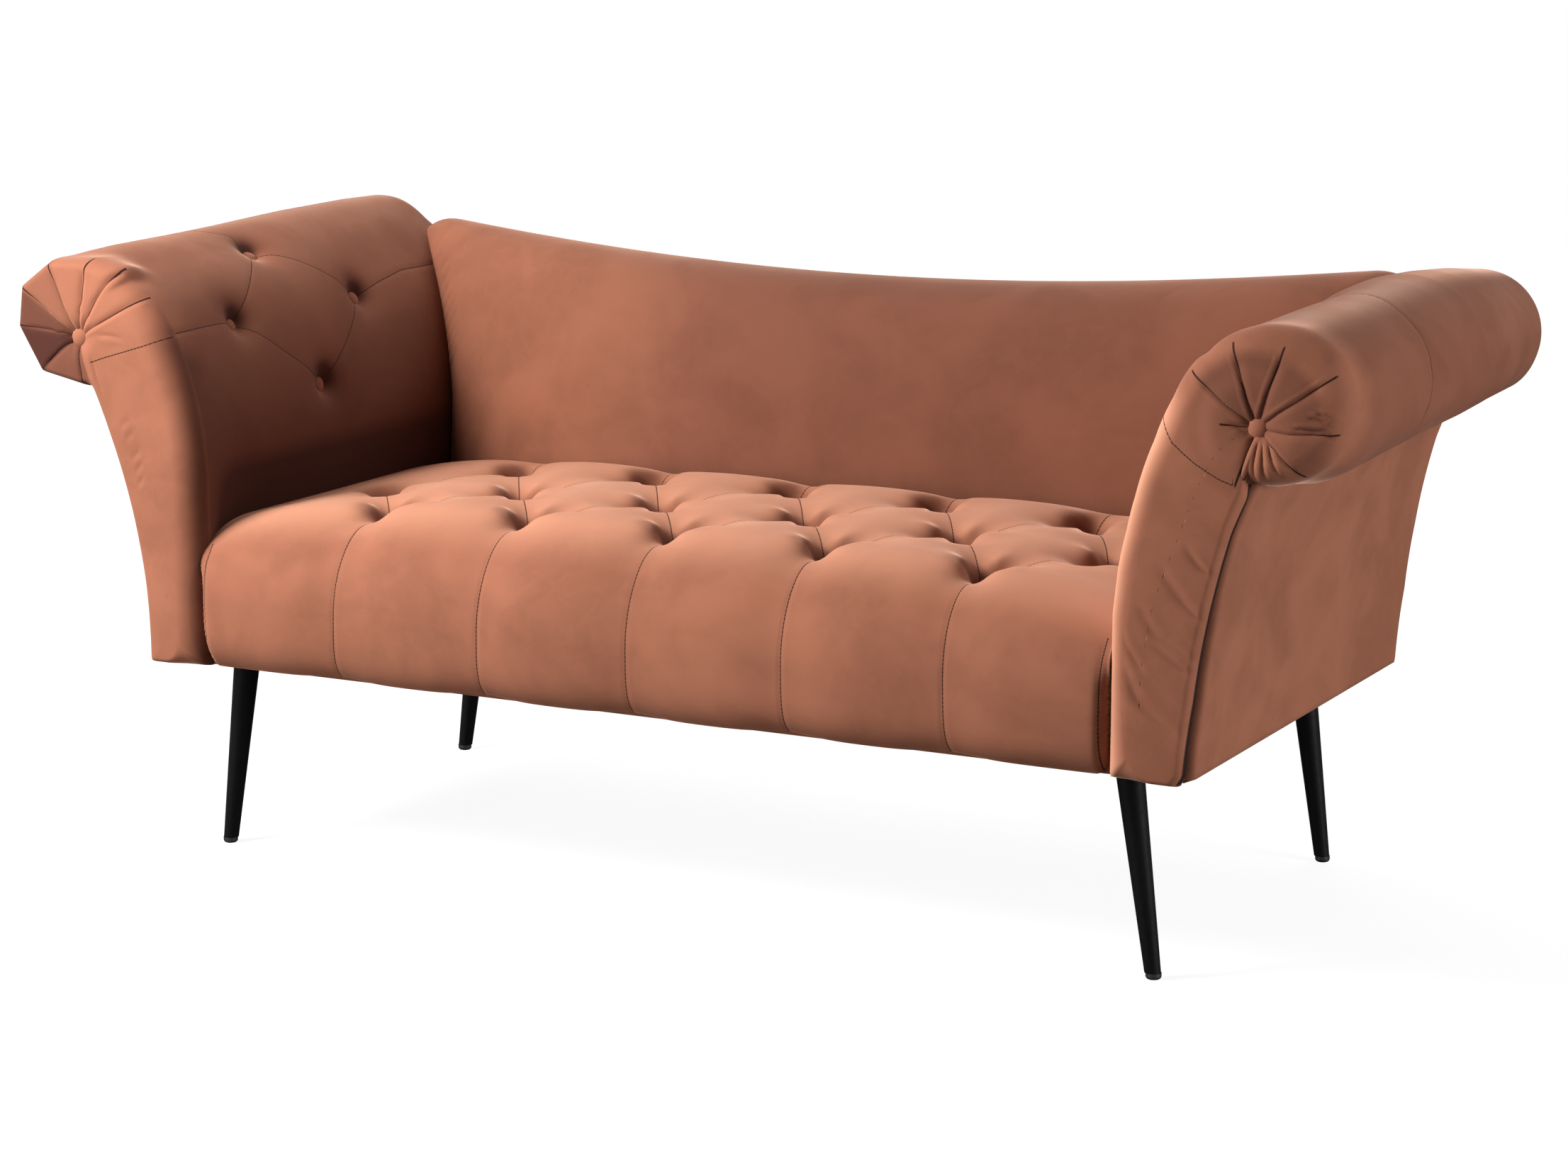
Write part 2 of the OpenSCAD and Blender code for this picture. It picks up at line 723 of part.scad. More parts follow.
module arm_buttons(right) {
    color(velvet_dark) side(right)
        for (t = arm_tufts) {
            d = bend_normal(t[0]);
            p = bend_point(t[0], arm_tuft_sink - fit);
            translate([p.x, t[1], p.y]) rotate([0, atan2(d.x, d.y), 0])
                button(button_d, button_back, button_dome);
        }
}

// Front face of an arm, with pleats gathered to the scroll button

hub_in = 18;
hub_drop = 20;
hub = [roll_x - hub_in, roll_z - hub_drop];
hub_sink = 9;
face_gap = 4;
face_drop = 8;
face_low = roll_point(pad_end, 0).y - face_drop;
pleat_first = 148;
pleat_step = 37;
pleat_w = 8;
face_levels = steps(under_z, face_low, 8);
// Place on the arm's outline where a ray from the hub leaves it
function ray_root(o, d) = let (b = o * d) (-b + sqrt(b * b - (d * d) * (o * o - 1))) / (d * d);
function rim_point(a) =
    let (d = [cos(a), sin(a)], bend = [arm_spread, arm_top - bend_z], h = hub - [roll_x, bend_z],
         e = ray_root([h.x / bend.x, h.y / bend.y], [d.x / bend.x, d.y / bend.y]),
         c = ray_root((hub - [roll_x, roll_z]) / roll_r, d / roll_r))
        hub + d * (a > 90 - pleat_step && (hub + d * e).x < roll_x ? e : c);
hub_turn = 130;
function turn_of(p) = let (a = atan2(p.y - hub.y, p.x - hub.x)) a < -hub_turn ? a + 360 : a;
fan_from = turn_of([arm_x(face_low), face_low]);
fan_to = turn_of([side_x(face_low) - face_gap, face_low]);
creases = concat([for (i = [0:pleats - 1]) pleat_first - i * pleat_step], [fan_to]);
fan_angles = concat(
    steps(fan_from, pleat_first, 4),
    [for (i = [0:pleats - 1], t = [1:4]) mix(creases[i], creases[i + 1], t / 4)]);
function crease(a) = max([for (c = creases) valley(a - c, pleat_w)]);
// One ring of the rounded rim: how far it is drawn in, and how far it stands forward
function rim_ring(a) =
    let (in = face_t * (1 - cos(a)), y = board_y - fit - (face_t - fit) * sin(a),
         side_w = function(z) (side_x(z) - face_gap - arm_x(z)) / 2,
         draw = function(z) min(in, side_w(z) * hub_share))
        concat(
            [for (i = [0:len(face_levels) - 2]) let (z = face_levels[i])
                [arm_x(z) + draw(z), y, z + (i == 0 ? draw(z) / 2 : 0)]],
            [for (g = fan_angles) let (p = rim_point(g), q = p + (hub - p) * in / roll_r)
                [q.x, y + pleat_sink * crease(g) * pow(sin(a), 2), q.y]],
            [for (i = [len(face_levels) - 2:-1:0]) let (z = face_levels[i])
                [side_x(z) - face_gap - draw(z), y, z + (i == 0 ? draw(z) / 2 : 0)]]);
hub_share = 0.75;
rim_angles = steps(0, 90, 4);
module arm_front_face(right) {
    rings = [for (a = rim_angles) each rim_ring(a)];
    low = len(face_levels) - 1;
    m = len(fan_angles) - 1;
    n = 2 * low + m + 1;
    last = (len(rim_angles) - 1) * n;
    inner_ring = [
        for (g = fan_angles) let (p = mix(rim_point(g), hub, 0.62))
            [p.x, front_y + hub_sink * 0.24 + pleat_sink * crease(g), p.y]
    ];
    g0 = len(rim_angles) * n;
    h = g0 + m + 1;
    walls = [
        for (k = [0:len(rim_angles) - 2], i = [0:n - 1])
            let (a = k * n + i, b = k * n + (i + 1) % n, c = a + n, d = b + n)
                each [[a, b, d], [a, d, c]]
    ];
    function band(s) = [for (i = [0:low - 1])
        each [[s + i, s + i + 1, s + n - 2 - i], [s + i, s + n - 2 - i, s + n - 1 - i]]];
    f0 = last + low;
    rosette = concat(
        [for (j = [0:m - 1]) each [[f0 + j, f0 + j + 1, g0 + j + 1], [f0 + j, g0 + j + 1, g0 + j],
                                   [g0 + j, g0 + j + 1, h]]],
        [[f0 + m, f0, g0], [f0 + m, g0, g0 + m], [g0 + m, g0, h]]);
    back = concat(band(0), [for (j = [0:m - 1]) [low + j, low + j + 1, h + 1]],
                  [[low + m, low, h + 1]]);
    color(velvet) side(right)
        polyhedron(concat(rings, inner_ring,
                          [[hub.x, front_y + hub_sink, hub.y], [hub.x, board_y - fit, hub.y]]),
                   concat(walls, band(last), rosette, turned(back)));
}

scroll_back = 5;
module scroll_button(right) {
    color(velvet_dark) side(right)
        translate([hub.x, front_y + hub_sink - fit, hub.y]) rotate([90, 0, 0])
            button(scroll_button_d, scroll_back, hub_sink - fit - scroll_back);
}

module arm_rear_face(right) {
    color(velvet) side(right) upright(body_y + fit, rear_t - fit)
        polygon(arm_outline(0, 0, under_z));
}

// Back

lower_h = 60;
top_h = 45;
posts_x = [-3, -1, 1, 3] * (half_w - rail_t * 1.4) / 3;
post_w = 50;
function rail_under(x) = back_top(x) - cap_t - top_h;
module back_posts() {
    color(timber) difference() {
        for (x = posts_x)
            upright(post_y, rail_t)
                polygon([[x - post_w / 2, rail_z], [x + post_w / 2, rail_z],
                         [x + post_w / 2, rail_under(x + post_w / 2) - fit],
                         [x - post_w / 2, rail_under(x - post_w / 2) - fit]]);
        back_screw_set(fit);
    }
}

lower_rail_z = pad_z;
module back_lower_rail() {
    color(timber) difference() {
        block([-half_w + fit, rear_rail_y, lower_rail_z],
              [half_w - fit, rear_rail_end, lower_rail_z + lower_h]);
        back_screw_set(fit);
    }
}

rail_reach = half_w + rail_t / 2;
module back_top_rail() {
    xs = steps(-rail_reach, rail_reach, 24);
    color(timber)
        upright(rear_rail_y, post_y + rail_t - rear_rail_y)
            polygon(concat([for (x = xs) [x, back_top(x) - cap_t]],
                           [for (x = flip(xs)) [x, rail_under(x)]]));
}

// Screws from the rear of the posts into both rails
back_screw_d = 5;
back_head_d = 9;
back_head_t = 3;
back_screw_l = 42;
back_screw_z = [rail_z + rail_h / 3, rail_z + rail_h * 2 / 3, lower_rail_z + lower_h / 2];
module back_screw_set(grow) {
    for (x = posts_x, z = back_screw_z)
        translate([x, post_y + rail_t - fit, z]) rotate([90, 0, 0]) {
            cylinder(h = back_screw_l + grow, d = back_screw_d + 2 * grow);
            translate([0, 0, -over * sign(grow)])
                cylinder(h = back_head_t + grow + over * sign(grow), d = back_head_d + 2 * grow);
        }
}

module back_screws() {
    color(steel) back_screw_set(0);
}

skin_y = rear_rail_y - fit - skin_t;
skin_lap = 12;
module back_skin() {
    xs = steps(-half_w + pad_fit, half_w - pad_fit, 20);
    color(hardboard)
        upright(skin_y, skin_t)
            polygon(concat([for (x = xs) [x, back_top(x) - cap_t - skin_lap]],
                           [[half_w - pad_fit, pad_z], [-half_w + pad_fit, pad_z]]));
}

// Inner face of the back pad: a plane that leans back
pad_wall = 32;
pad_in_low = rear_y - back_d + pad_wall;
pad_in_top = skin_y - rail_t / 3;
pad_in_rise = back_z - cap_t - pad_z;
function pad_in_y(z) = mix(pad_in_low, pad_in_top, (z - pad_z) / pad_in_rise);
module back_foam() {
    top = back_z - cap_t - skin_lap;
    reach = half_w - 3 * rail_t;
    color(foam)
        translate([-reach, 0, 0]) rotate([90, 0, 90])
            linear_extrude(2 * reach)
                polygon([[pad_in_low + fit, pad_z], [skin_y - fit, pad_z],
                         [skin_y - fit, top], [pad_in_y(top) + fit, top]]);
}

// Ends of the back pad, where its top edge meets the arms
back_x = back_meet();
function back_meet(lo = half_w, hi = roll_x, n = 24) =
    let (mid = (lo + hi) / 2)
        n == 0 ? mid
        : arm_x(back_top(mid)) - pad_fit > mid ? back_meet(mid, hi, n - 1)
        : back_meet(lo, mid, n - 1);
ridge_mid = 48;
ridge_end = 14;
panel_step = 2;
back_power_mid = 2.4;
back_power_end = 2;
// A point of the back pad: u runs from arm to arm, a up the front and over the top
function back_height(u) = back_top(u * back_x);
function back_place(u, y, z) = [u * (arm_x(z) - pad_fit), y, z];
function back_power(u) = mix(back_power_mid, back_power_end, pow(u, 4));
function ridge_y(u) = rear_y - mix(ridge_mid, ridge_end, pow(u, 4));
function back_front(u, a) =
    let (p = back_power(u), yf = seat_end_y(u * half_w), yr = ridge_y(u))
        back_place(u, yr - (yr - yf) * pow(cos(a), 2 / p),
                   pad_z + fit + (back_height(u) - pad_z - fit) * pow(sin(a), 2 / p));
function back_rear(u, a) =
    back_place(u, mix(ridge_y(u), rear_y - 2 * panel_step, sin(a)),
               back_height(u) - (cap_t - fit) * (1 - cos(a)));
// A point of the inner face, which near the arms gives way to the rounded front
corner_wall = 4;
function inner_top(u) = back_height(u) - cap_t + fit;
function inner_give(u) =
    let (top = inner_top(u),
         a = asin(pow((top - pad_z - fit) / (back_height(u) - pad_z - fit), back_power(u) / 2)))
        max(0, back_front(u, a).y + corner_wall - pad_in_y(top));
function inner_front(u, t) =
    let (z = mix(pad_z + fit, inner_top(u), t)) [pad_in_y(z) + inner_give(u) * t * t, z];
front_angles = steps(0, 90, 12);
rear_angles = [for (a = steps(0, 90, 4)) if (a > 0) a];
back_u = [for (t = steps(-90, 90, 26)) sin(t)];
module back_pad() {
    outer = [for (u = back_u) each concat(
        [for (a = front_angles) back_front(u, a)], [for (a = rear_angles) back_rear(u, a)])];
    inner = [for (u = back_u) let (corner = inner_front(u, 1)) each concat(
        [for (a = front_angles) let (p = inner_front(u, sin(a))) back_place(u, p.x, p.y)],
        [for (a = rear_angles)
            back_place(u, mix(corner.x, rear_y - 4 * panel_step, a / 90), corner.y)])];
    n = len(back_u);
    m = len(front_angles) + len(rear_angles);
    s = n * m;
    o_low = [for (i = [0:n - 1]) i * m];
    o_end = [for (i = [0:n - 1]) i * m + m - 1];
    o_left = [for (j = [0:m - 1]) j];
    o_right = [for (j = [0:m - 1]) (n - 1) * m + j];
    function shift(list) = [for (v = list) v + s];
    color(velvet)
        polyhedron(concat(outer, inner),
                   concat(grid_faces(n, m, 0, false), grid_faces(n, m, s, true),
                          strip_faces(o_low, shift(o_low)),
                          strip_faces(shift(o_end), o_end),
                          turned(strip_faces(o_left, shift(o_left))),
                          strip_faces(o_right, shift(o_right))));
}

module back_panel() {
    zs = steps(under_z, back_height(1) - cap_t, 20);
    tops = [for (u = steps(1, -1, 30)) back_place(u, 0, back_height(u) - cap_t)];
    color(velvet)
        upright(body_y - panel_t, panel_t + rear_t - panel_step)
            polygon(concat([for (z = zs) if (z < back_height(1) - cap_t) [arm_x(z) - pad_fit, z]],
                           [for (p = tops) [p.x, p.z]],
                           [for (z = flip(zs)) if (z < back_height(1) - cap_t)
                               [pad_fit - arm_x(z), z]]));
}

leg(false, false);  // leg_front_left
leg(true, false);  // leg_front_right
leg(false, true);  // leg_rear_left
leg(true, true);  // leg_rear_right
glide(false, false);  // glide_front_left
glide(true, false);  // glide_front_right
glide(false, true);  // glide_rear_left
glide(true, true);  // glide_rear_right
leg_plates();
leg_studs();
leg_plate_screws();
seat_rail_front();
seat_rail_rear();
seat_rail_side(false);  // seat_rail_left
seat_rail_side(true);  // seat_rail_right
corner_blocks();
webbing_long();
webbing_cross();
dust_cover();
seat_foam();
seat_pad();
seat_buttons();
back_posts();
back_lower_rail();
back_top_rail();
back_screws();
back_skin();
back_foam();
back_pad();
back_panel();
arm_board(false, board_y);  // arm_front_board_left
arm_board(true, board_y);  // arm_front_board_right
arm_board(false, rear_board_y);  // arm_rear_board_left
arm_board(true, rear_board_y);  // arm_rear_board_right
arm_base_rail(false);  // arm_base_rail_left
arm_base_rail(true);  // arm_base_rail_right
arm_tack_rail(false);  // arm_tack_rail_left
arm_tack_rail(true);  // arm_tack_rail_right
arm_roll_tube(false);  // arm_roll_tube_left
arm_roll_tube(true);  // arm_roll_tube_right
arm_skin(false);  // arm_skin_left
arm_skin(true);  // arm_skin_right
arm_side_panel(false);  // arm_side_panel_left
arm_side_panel(true);  // arm_side_panel_right
arm_bolts(false);  // arm_bolts_left
arm_bolts(true);  // arm_bolts_right
arm_pad(false);  // arm_pad_left
arm_pad(true);  // arm_pad_right
arm_front_face(false);  // arm_front_face_left
arm_front_face(true);  // arm_front_face_right
arm_rear_face(false);  // arm_rear_face_left
arm_rear_face(true);  // arm_rear_face_right
arm_buttons(false);  // arm_buttons_left
arm_buttons(true);  // arm_buttons_right
scroll_button(false);  // scroll_button_left
scroll_button(true);  // scroll_button_right
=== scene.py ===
# %% [markdown]
# # A fainting couch in buttoned velvet
# This lesson dresses the couch's fixed frame. The frame comes from the CAD part, in metres:
# +X is right as seen from the front, +Y points to the rear and +Z is up. The legs and the
# hidden frame keep their CAD meshes. The covers are new surfaces, computed with numpy.

import math

import bpy
import numpy as np
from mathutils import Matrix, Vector


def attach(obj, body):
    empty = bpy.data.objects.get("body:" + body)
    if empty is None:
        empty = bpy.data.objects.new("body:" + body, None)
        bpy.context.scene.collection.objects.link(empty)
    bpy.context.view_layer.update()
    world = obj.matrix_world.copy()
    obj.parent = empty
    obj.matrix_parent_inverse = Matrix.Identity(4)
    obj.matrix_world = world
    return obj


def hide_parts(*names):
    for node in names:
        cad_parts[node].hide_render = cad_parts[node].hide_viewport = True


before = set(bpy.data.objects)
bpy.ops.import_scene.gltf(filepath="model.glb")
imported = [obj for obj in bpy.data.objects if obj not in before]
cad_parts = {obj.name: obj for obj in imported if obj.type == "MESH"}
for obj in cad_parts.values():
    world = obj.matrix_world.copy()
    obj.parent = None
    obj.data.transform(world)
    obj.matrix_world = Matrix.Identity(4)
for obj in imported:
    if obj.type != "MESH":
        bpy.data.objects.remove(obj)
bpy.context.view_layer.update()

# %% [markdown]
# ## Sizes
# The lines that the covers follow, in millimetres. They are the CAD part's own lines: the
# section of the front border, the arm's section, which rises straight, bends outward as a
# quarter of an ellipse and rolls over as a circle, and the back's top edge.

# %% Sizes of the couch
FRONT, REAR = -336.0, 336.0
HALF = 562.0  # from the middle to an arm
UNDER = 230.0  # height of the frame's underside
BORDER_Y = FRONT + 114  # where the front border ends and the seat's top begins
BEND_X, BEND_Z, BEND_W, BEND_H = 735.0, 440.0, 173.0, 262.0
ROLL = np.array([735.0, 622.0])
ROLL_R = 80.0
FOOT_X, SIDE_R = 639.0, 770.0
HUB = np.array([717.0, 602.0])
FACE_T = 27.0  # padding of an arm's front face
BOARD_Y, BODY_Y = FRONT + FACE_T, REAR - 10
PAD_Z = 367.0  # top of the foam slab, under the seat's padding
BACK_X, BACK_D, BULGE = 650.0, 142.0, 60.0  # the back's half width, depth and bulge
STEP = 3.5  # distance between the points of the seat's front section


def side_x(z):
    """Outer face of an arm's outside panel: an arc that leans out from the foot."""
    return FOOT_X + SIDE_R - np.sqrt(SIDE_R**2 - (np.asarray(z, float) - UNDER) ** 2)


def lean(z):
    """How far the outside of an arm stands out from side_x."""
    return np.interp(z, [230, 317, 390, 440, 490, 546], [2, 6, 4, 1, -2, -1])


def arm_x(z):
    """Inner face of an arm: straight, then x = roll - 173 sqrt(1 - ((z - 440) / 262)^2)."""
    t = np.clip((np.asarray(z, float) - BEND_Z) / BEND_H, 0, 1)
    return BEND_X - BEND_W * np.sqrt(1 - t**2)


def seat_end(x):
    """Line where the seat meets the back: y = rear - 142 - 60 (1 - |x / 562|^3)."""
    return REAR - BACK_D - BULGE * (1 - np.minimum(np.abs(x) / HALF, 1) ** 3)


def run_along(path):
    """Length of a polyline up to each of its points."""
    return np.concatenate([[0], np.cumsum(np.linalg.norm(np.diff(path, axis=0), axis=1))])


def spread(path, step):
    """Points at even steps of about the given length along a polyline."""
    path = np.asarray(path, float)
    run = run_along(path)
    at = np.linspace(0, run[-1], max(2, int(round(run[-1] / step)) + 1))
    return np.stack([np.interp(at, run, path[:, k]) for k in range(path.shape[1])], 1)


print("inner face of an arm at z 440, 600 and 700:", arm_x([440, 600, 700]).round())

# %% [markdown]
# ## Meshes
# A cover is one or several grids of points. It could be sculpted by hand, but a computed
# grid follows the real lines to the millimetre. Points that share a place are welded.

# %% Mesh helpers
def grid(n, m, close=False):
    """Four-sided faces of n rows of m points; close joins the last column to the first."""
    i, j = np.meshgrid(np.arange(n - 1), np.arange(m if close else m - 1), indexing="ij")
    a, b = i * m + j, i * m + (j + 1) % m
    return np.stack([a, b, b + m, a + m], -1).reshape(-1, 4)


def weld(points, faces):
    """Joins points within 0.02 mm and drops the faces that lose their area."""
    keys = np.round(points / 0.02).astype(np.int64)
    _, first, inverse = np.unique(keys, axis=0, return_index=True, return_inverse=True)
    faces = inverse.reshape(-1)[faces]
    a, b, c, d = faces.T
    keep = ~((a == c) | (b == d) | ((a == b) & (c == d)) | ((b == c) & (a == d)))
    return points[first], faces[keep], first


def build(name, points, faces, material, solid=0.0, **attributes):
    """Makes a smooth mesh, in metres, of quads that may have two equal neighbours."""
    points, faces, first = weld(np.asarray(points, float), faces)
    kept = faces != np.roll(faces, 1, axis=1)
    loops = faces[kept]
    starts = np.concatenate([[0], np.cumsum(kept.sum(1))[:-1]])
    mesh = bpy.data.meshes.new(name)
    mesh.vertices.add(len(points))
    mesh.vertices.foreach_set("co", (points * 0.001).astype(np.float32).ravel())
    mesh.loops.add(len(loops))
    mesh.loops.foreach_set("vertex_index", loops.astype(np.int32))
    mesh.polygons.add(len(faces))
    mesh.polygons.foreach_set("loop_start", starts.astype(np.int32))
    mesh.polygons.foreach_set("use_smooth", np.ones(len(faces), bool))
    mesh.update(calc_edges=True)
    mesh.validate()
    for key, values in attributes.items():
        layer = mesh.attributes.new(key, "FLOAT", "POINT")
        layer.data.foreach_set("value", np.asarray(values, float)[first].astype(np.float32))
    piece = bpy.data.objects.new(name, mesh)
    bpy.context.scene.collection.objects.link(piece)
    mesh.materials.append(material)
    if solid:
        thick = piece.modifiers.new("thickness", "SOLIDIFY")
        thick.thickness, thick.offset = solid / 1000, -1
    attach(piece, "root")
    print(f"{name}: {len(points)} points, {len(faces)} faces")
    return piece


# %% [markdown]
# ## Normals and closing rows
# A depth is measured along the cover's normal, so the normals are needed before a mesh
# exists. A cover is open below and behind; hidden rows of points carry it round the foam, as
# the velvet is drawn under and stapled, and a fan of triangles closes each end.

# %% Normals and closing rows
def normals_of(points, faces):
    """Unit normals at the points: the sum of the crossed diagonals of their faces."""
    p = points[faces]
    crossed = np.cross(p[:, 2] - p[:, 0], p[:, 3] - p[:, 1])
    out = np.stack([
        np.bincount(faces.ravel(), np.repeat(crossed[:, k], 4), len(points)) for k in range(3)
    ], 1)
    return out / np.maximum(np.linalg.norm(out, axis=1, keepdims=True), 1e-9)


def closed(outer, n, m, hidden, hub):
    """Faces of a cover of n lines of m points, closed by hidden rows and a fan at each end."""
    q = n * m
    rows = [np.arange(n) * m] + [q + k * n + np.arange(n) for k in range(hidden)]
    rows.append(np.arange(n) * m + m - 1)
    faces = [outer]
    for a, b in zip(rows[:-1], rows[1:]):
        faces.append(np.stack([a[:-1], a[1:], b[1:], b[:-1]], 1))
    for end, flip in ((0, 1), (n - 1, -1)):
        below = [q + k * n + end for k in range(hub - 1, -1, -1)]
        ring = np.concatenate([below, end * m + np.arange(m), [q + (hub + 1) * n + end]])
        centre = np.full(len(ring) - 1, q + hub * n + end)
        faces.append(np.stack([centre, centre, ring[1:], ring[:-1]], 1)[:, ::flip])
    return np.concatenate(faces)


print("a grid of 3 rows of 4 points has", len(grid(3, 4)), "faces")

# %% [markdown]
# ## Tufts, seams and folds
# An upholsterer pulls the velvet down at each button and folds the slack into seams that
# run from tuft to tuft. Between them the stuffing pushes the cover up, so that a section
# across a seam is two round lips over a sharp groove. The depth below the full cover is
# D (1 - sqrt(1 - (1 - x)^2)) where x is the distance from the seam over the lip's width.
# A tuft adds a hollow D (0.75 exp(-r / w) + 0.25 exp(-r / 42)) beyond a small flat bottom
# for the button. Depths are joined by a power mean, (sum d^3)^(1/3), so that crossings stay
# smooth. A cloth simulation could find these forms too, but fields are quick, exact and the
# same on every run.

# %% Lips, paths and smooth steps
def lip(x):
    """1 - sqrt(1 - (1 - x)^2) below 1, and 0 beyond: round lips over a sharp groove."""
    return 1 - np.sqrt(np.maximum(0, 1 - np.maximum(0, 1 - x) ** 2))


def trace(points, path):
    """Distance to a polyline, signed side of it, and run along it, in its own plane."""
    path = np.asarray(path, float)
    gap, side = np.full(len(points), 1e9), np.zeros(len(points))
    run, start = np.zeros(len(points)), 0.0
    for a, b in zip(path[:-1], path[1:]):
        d, length = b - a, np.linalg.norm(b - a)
        t = np.clip((points - a) @ d / length**2, 0, 1)
        off = points - a - t[:, None] * d
        here = np.linalg.norm(off, axis=1)
        near = here < gap
        gap = np.where(near, here, gap)
        side = np.where(near, (d[0] * off[:, 1] - d[1] * off[:, 0]) / length, side)
        run = np.where(near, start + t * length, run)
        start += length
    return gap, side, run, start


def smooth(x):
    """3x^2 - 2x^3 between 0 and 1."""
    x = np.clip(x, 0, 1)
    return x * x * (3 - 2 * x)


def from_tuft(flat, tufts):
    """Offset and distance of each point from its nearest tuft."""
    off = flat[:, None] - np.array(tufts)
    off = off[np.arange(len(flat)), np.argmin((off**2).sum(2), axis=1)]
    return off, np.linalg.norm(off, axis=1)


def button_spots(tufts, flat, points, out):
    """Place and direction of the cover at each tuft, for its button."""
    nearest = [np.argmin(np.linalg.norm(flat - t, axis=1)) for t in tufts]
    return [(points[k], out[k]) for k in nearest]


print("lip's depth at 0, 0.25, 0.5 and 1:", lip(np.array([0, 0.25, 0.5, 1])).round(2))

# %% [markdown]
# ## Sunk foam, grooves and folds
# In deep foam the whole neighbourhood sinks: 32 exp(-(r / 18)^1.5) about a tuft and
# (5 + 25 exp(-(r / 45)^2)) exp(-(x / w)^2) along a seam, where w grows from 17 to 39. Their
# sum s is held below 46 as s / (1 + (s / 46)^4)^(1/4), so that the cover stays over the foam
# slab. The narrow grooves of the stitches are added to that. A fold in slack velvet is a
# valley beside a low ridge.

# %% Depth fields
def sunk(flat, tufts, seams, free):
    """Broad sinking of deep foam about the tufts and along the seams, less where free is low."""
    r = from_tuft(flat, tufts)[1]
    power = (32 * np.exp(-((r / 18) ** 1.5))) ** 3
    valley = 2 + 3 * free + (8 + 17 * free) * np.exp(-((r / 45) ** 2))
    width = 17 + 22 * smooth((r - 25) / 50)
    for seam in seams:
        power += (valley * np.exp(-((trace(flat, seam)[0] / width) ** 2))) ** 3
    total = power ** (1 / 3)
    return total / (1 + (total / 46) ** 4) ** 0.25


def quilt(flat, tufts, seams, deep, hole, wide, seam_deep, seam_wide, reach=16.0):
    """Depth at flat points, and the marks that the stitches need: side, near and along."""
    marks = {"side": np.full(len(flat), 99.0), "near": np.full(len(flat), 99.0),
             "along": np.zeros(len(flat))}
    r = from_tuft(flat, tufts)[1]
    wall = np.maximum(r - hole, 0)
    hollow = 0.75 * np.exp(-wall / wide) + 0.25 * np.exp(-wall / 42)
    power = (deep * hollow) ** 3
    for seam in seams:
        gap, off, run, _ = trace(flat, seam)
        depth = seam_deep + (deep * 0.8 - seam_deep) * np.exp(-r / reach)
        width = seam_wide * (0.8 + 1.2 * np.exp(-r / 30))
        groove = lip(np.sqrt(gap**2 + 1) / width) / lip(1 / width)
        power += (depth * groove) ** 3
        stitch(marks, gap, off, run)
    return power ** (1 / 3), marks


def stitch(marks, gap, off, run):
    """Keeps, at each point, the side, distance and run of the nearest seam so far."""
    closer = gap < marks["near"]
    for key, value in (("side", off), ("near", gap), ("along", run)):
        marks[key] = np.where(closer, value, marks[key])


def folded(flat, folds):
    """Depth of single folds: exp(-(x / w)^2) less half a ridge beside it, fading at its ends."""
    total = np.zeros(len(flat))
    for path, depth, width, fade_in, fade_out in folds:
        gap, side, run, length = trace(flat, path)
        s = run / length
        ends = smooth(s / fade_in) * smooth((1 - s) / fade_out)
        valley = np.exp(-((gap / width) ** 2))
        ridge = 0.5 * np.exp(-(((side - 1.7 * width) / width) ** 2))
        total += depth * ends * (valley - ridge)
    return total


def widen(marks, before, after):
    """The marks of a sheet, padded with places that have no stitches."""
    far = {"nap": 0.0, "along": 0.0}
    return {key: np.pad(value, (before, after), constant_values=far.get(key, 99.0))
            for key, value in marks.items()}


one_tuft = sunk(np.array([[0.0, 0], [30, 0]]), [np.zeros(2)], [], np.ones(2))
print("foam sinks by", one_tuft.round(1), "mm at 0 and 30 mm from a tuft")

# %% [markdown]
# ## Node trees
# A material is a tree of nodes. They can be joined by hand in the shader editor; a small
# class with one short name for each kind of node keeps the same work readable as text.

# %% Shader helper
def linear(r, g, b):
    """A colour from its sRGB values, 0 to 255."""
    c = np.array([r, g, b]) / 255
    return tuple(np.where(c <= 0.04045, c / 12.92, ((c + 0.055) / 1.055) ** 2.4)) + (1.0,)


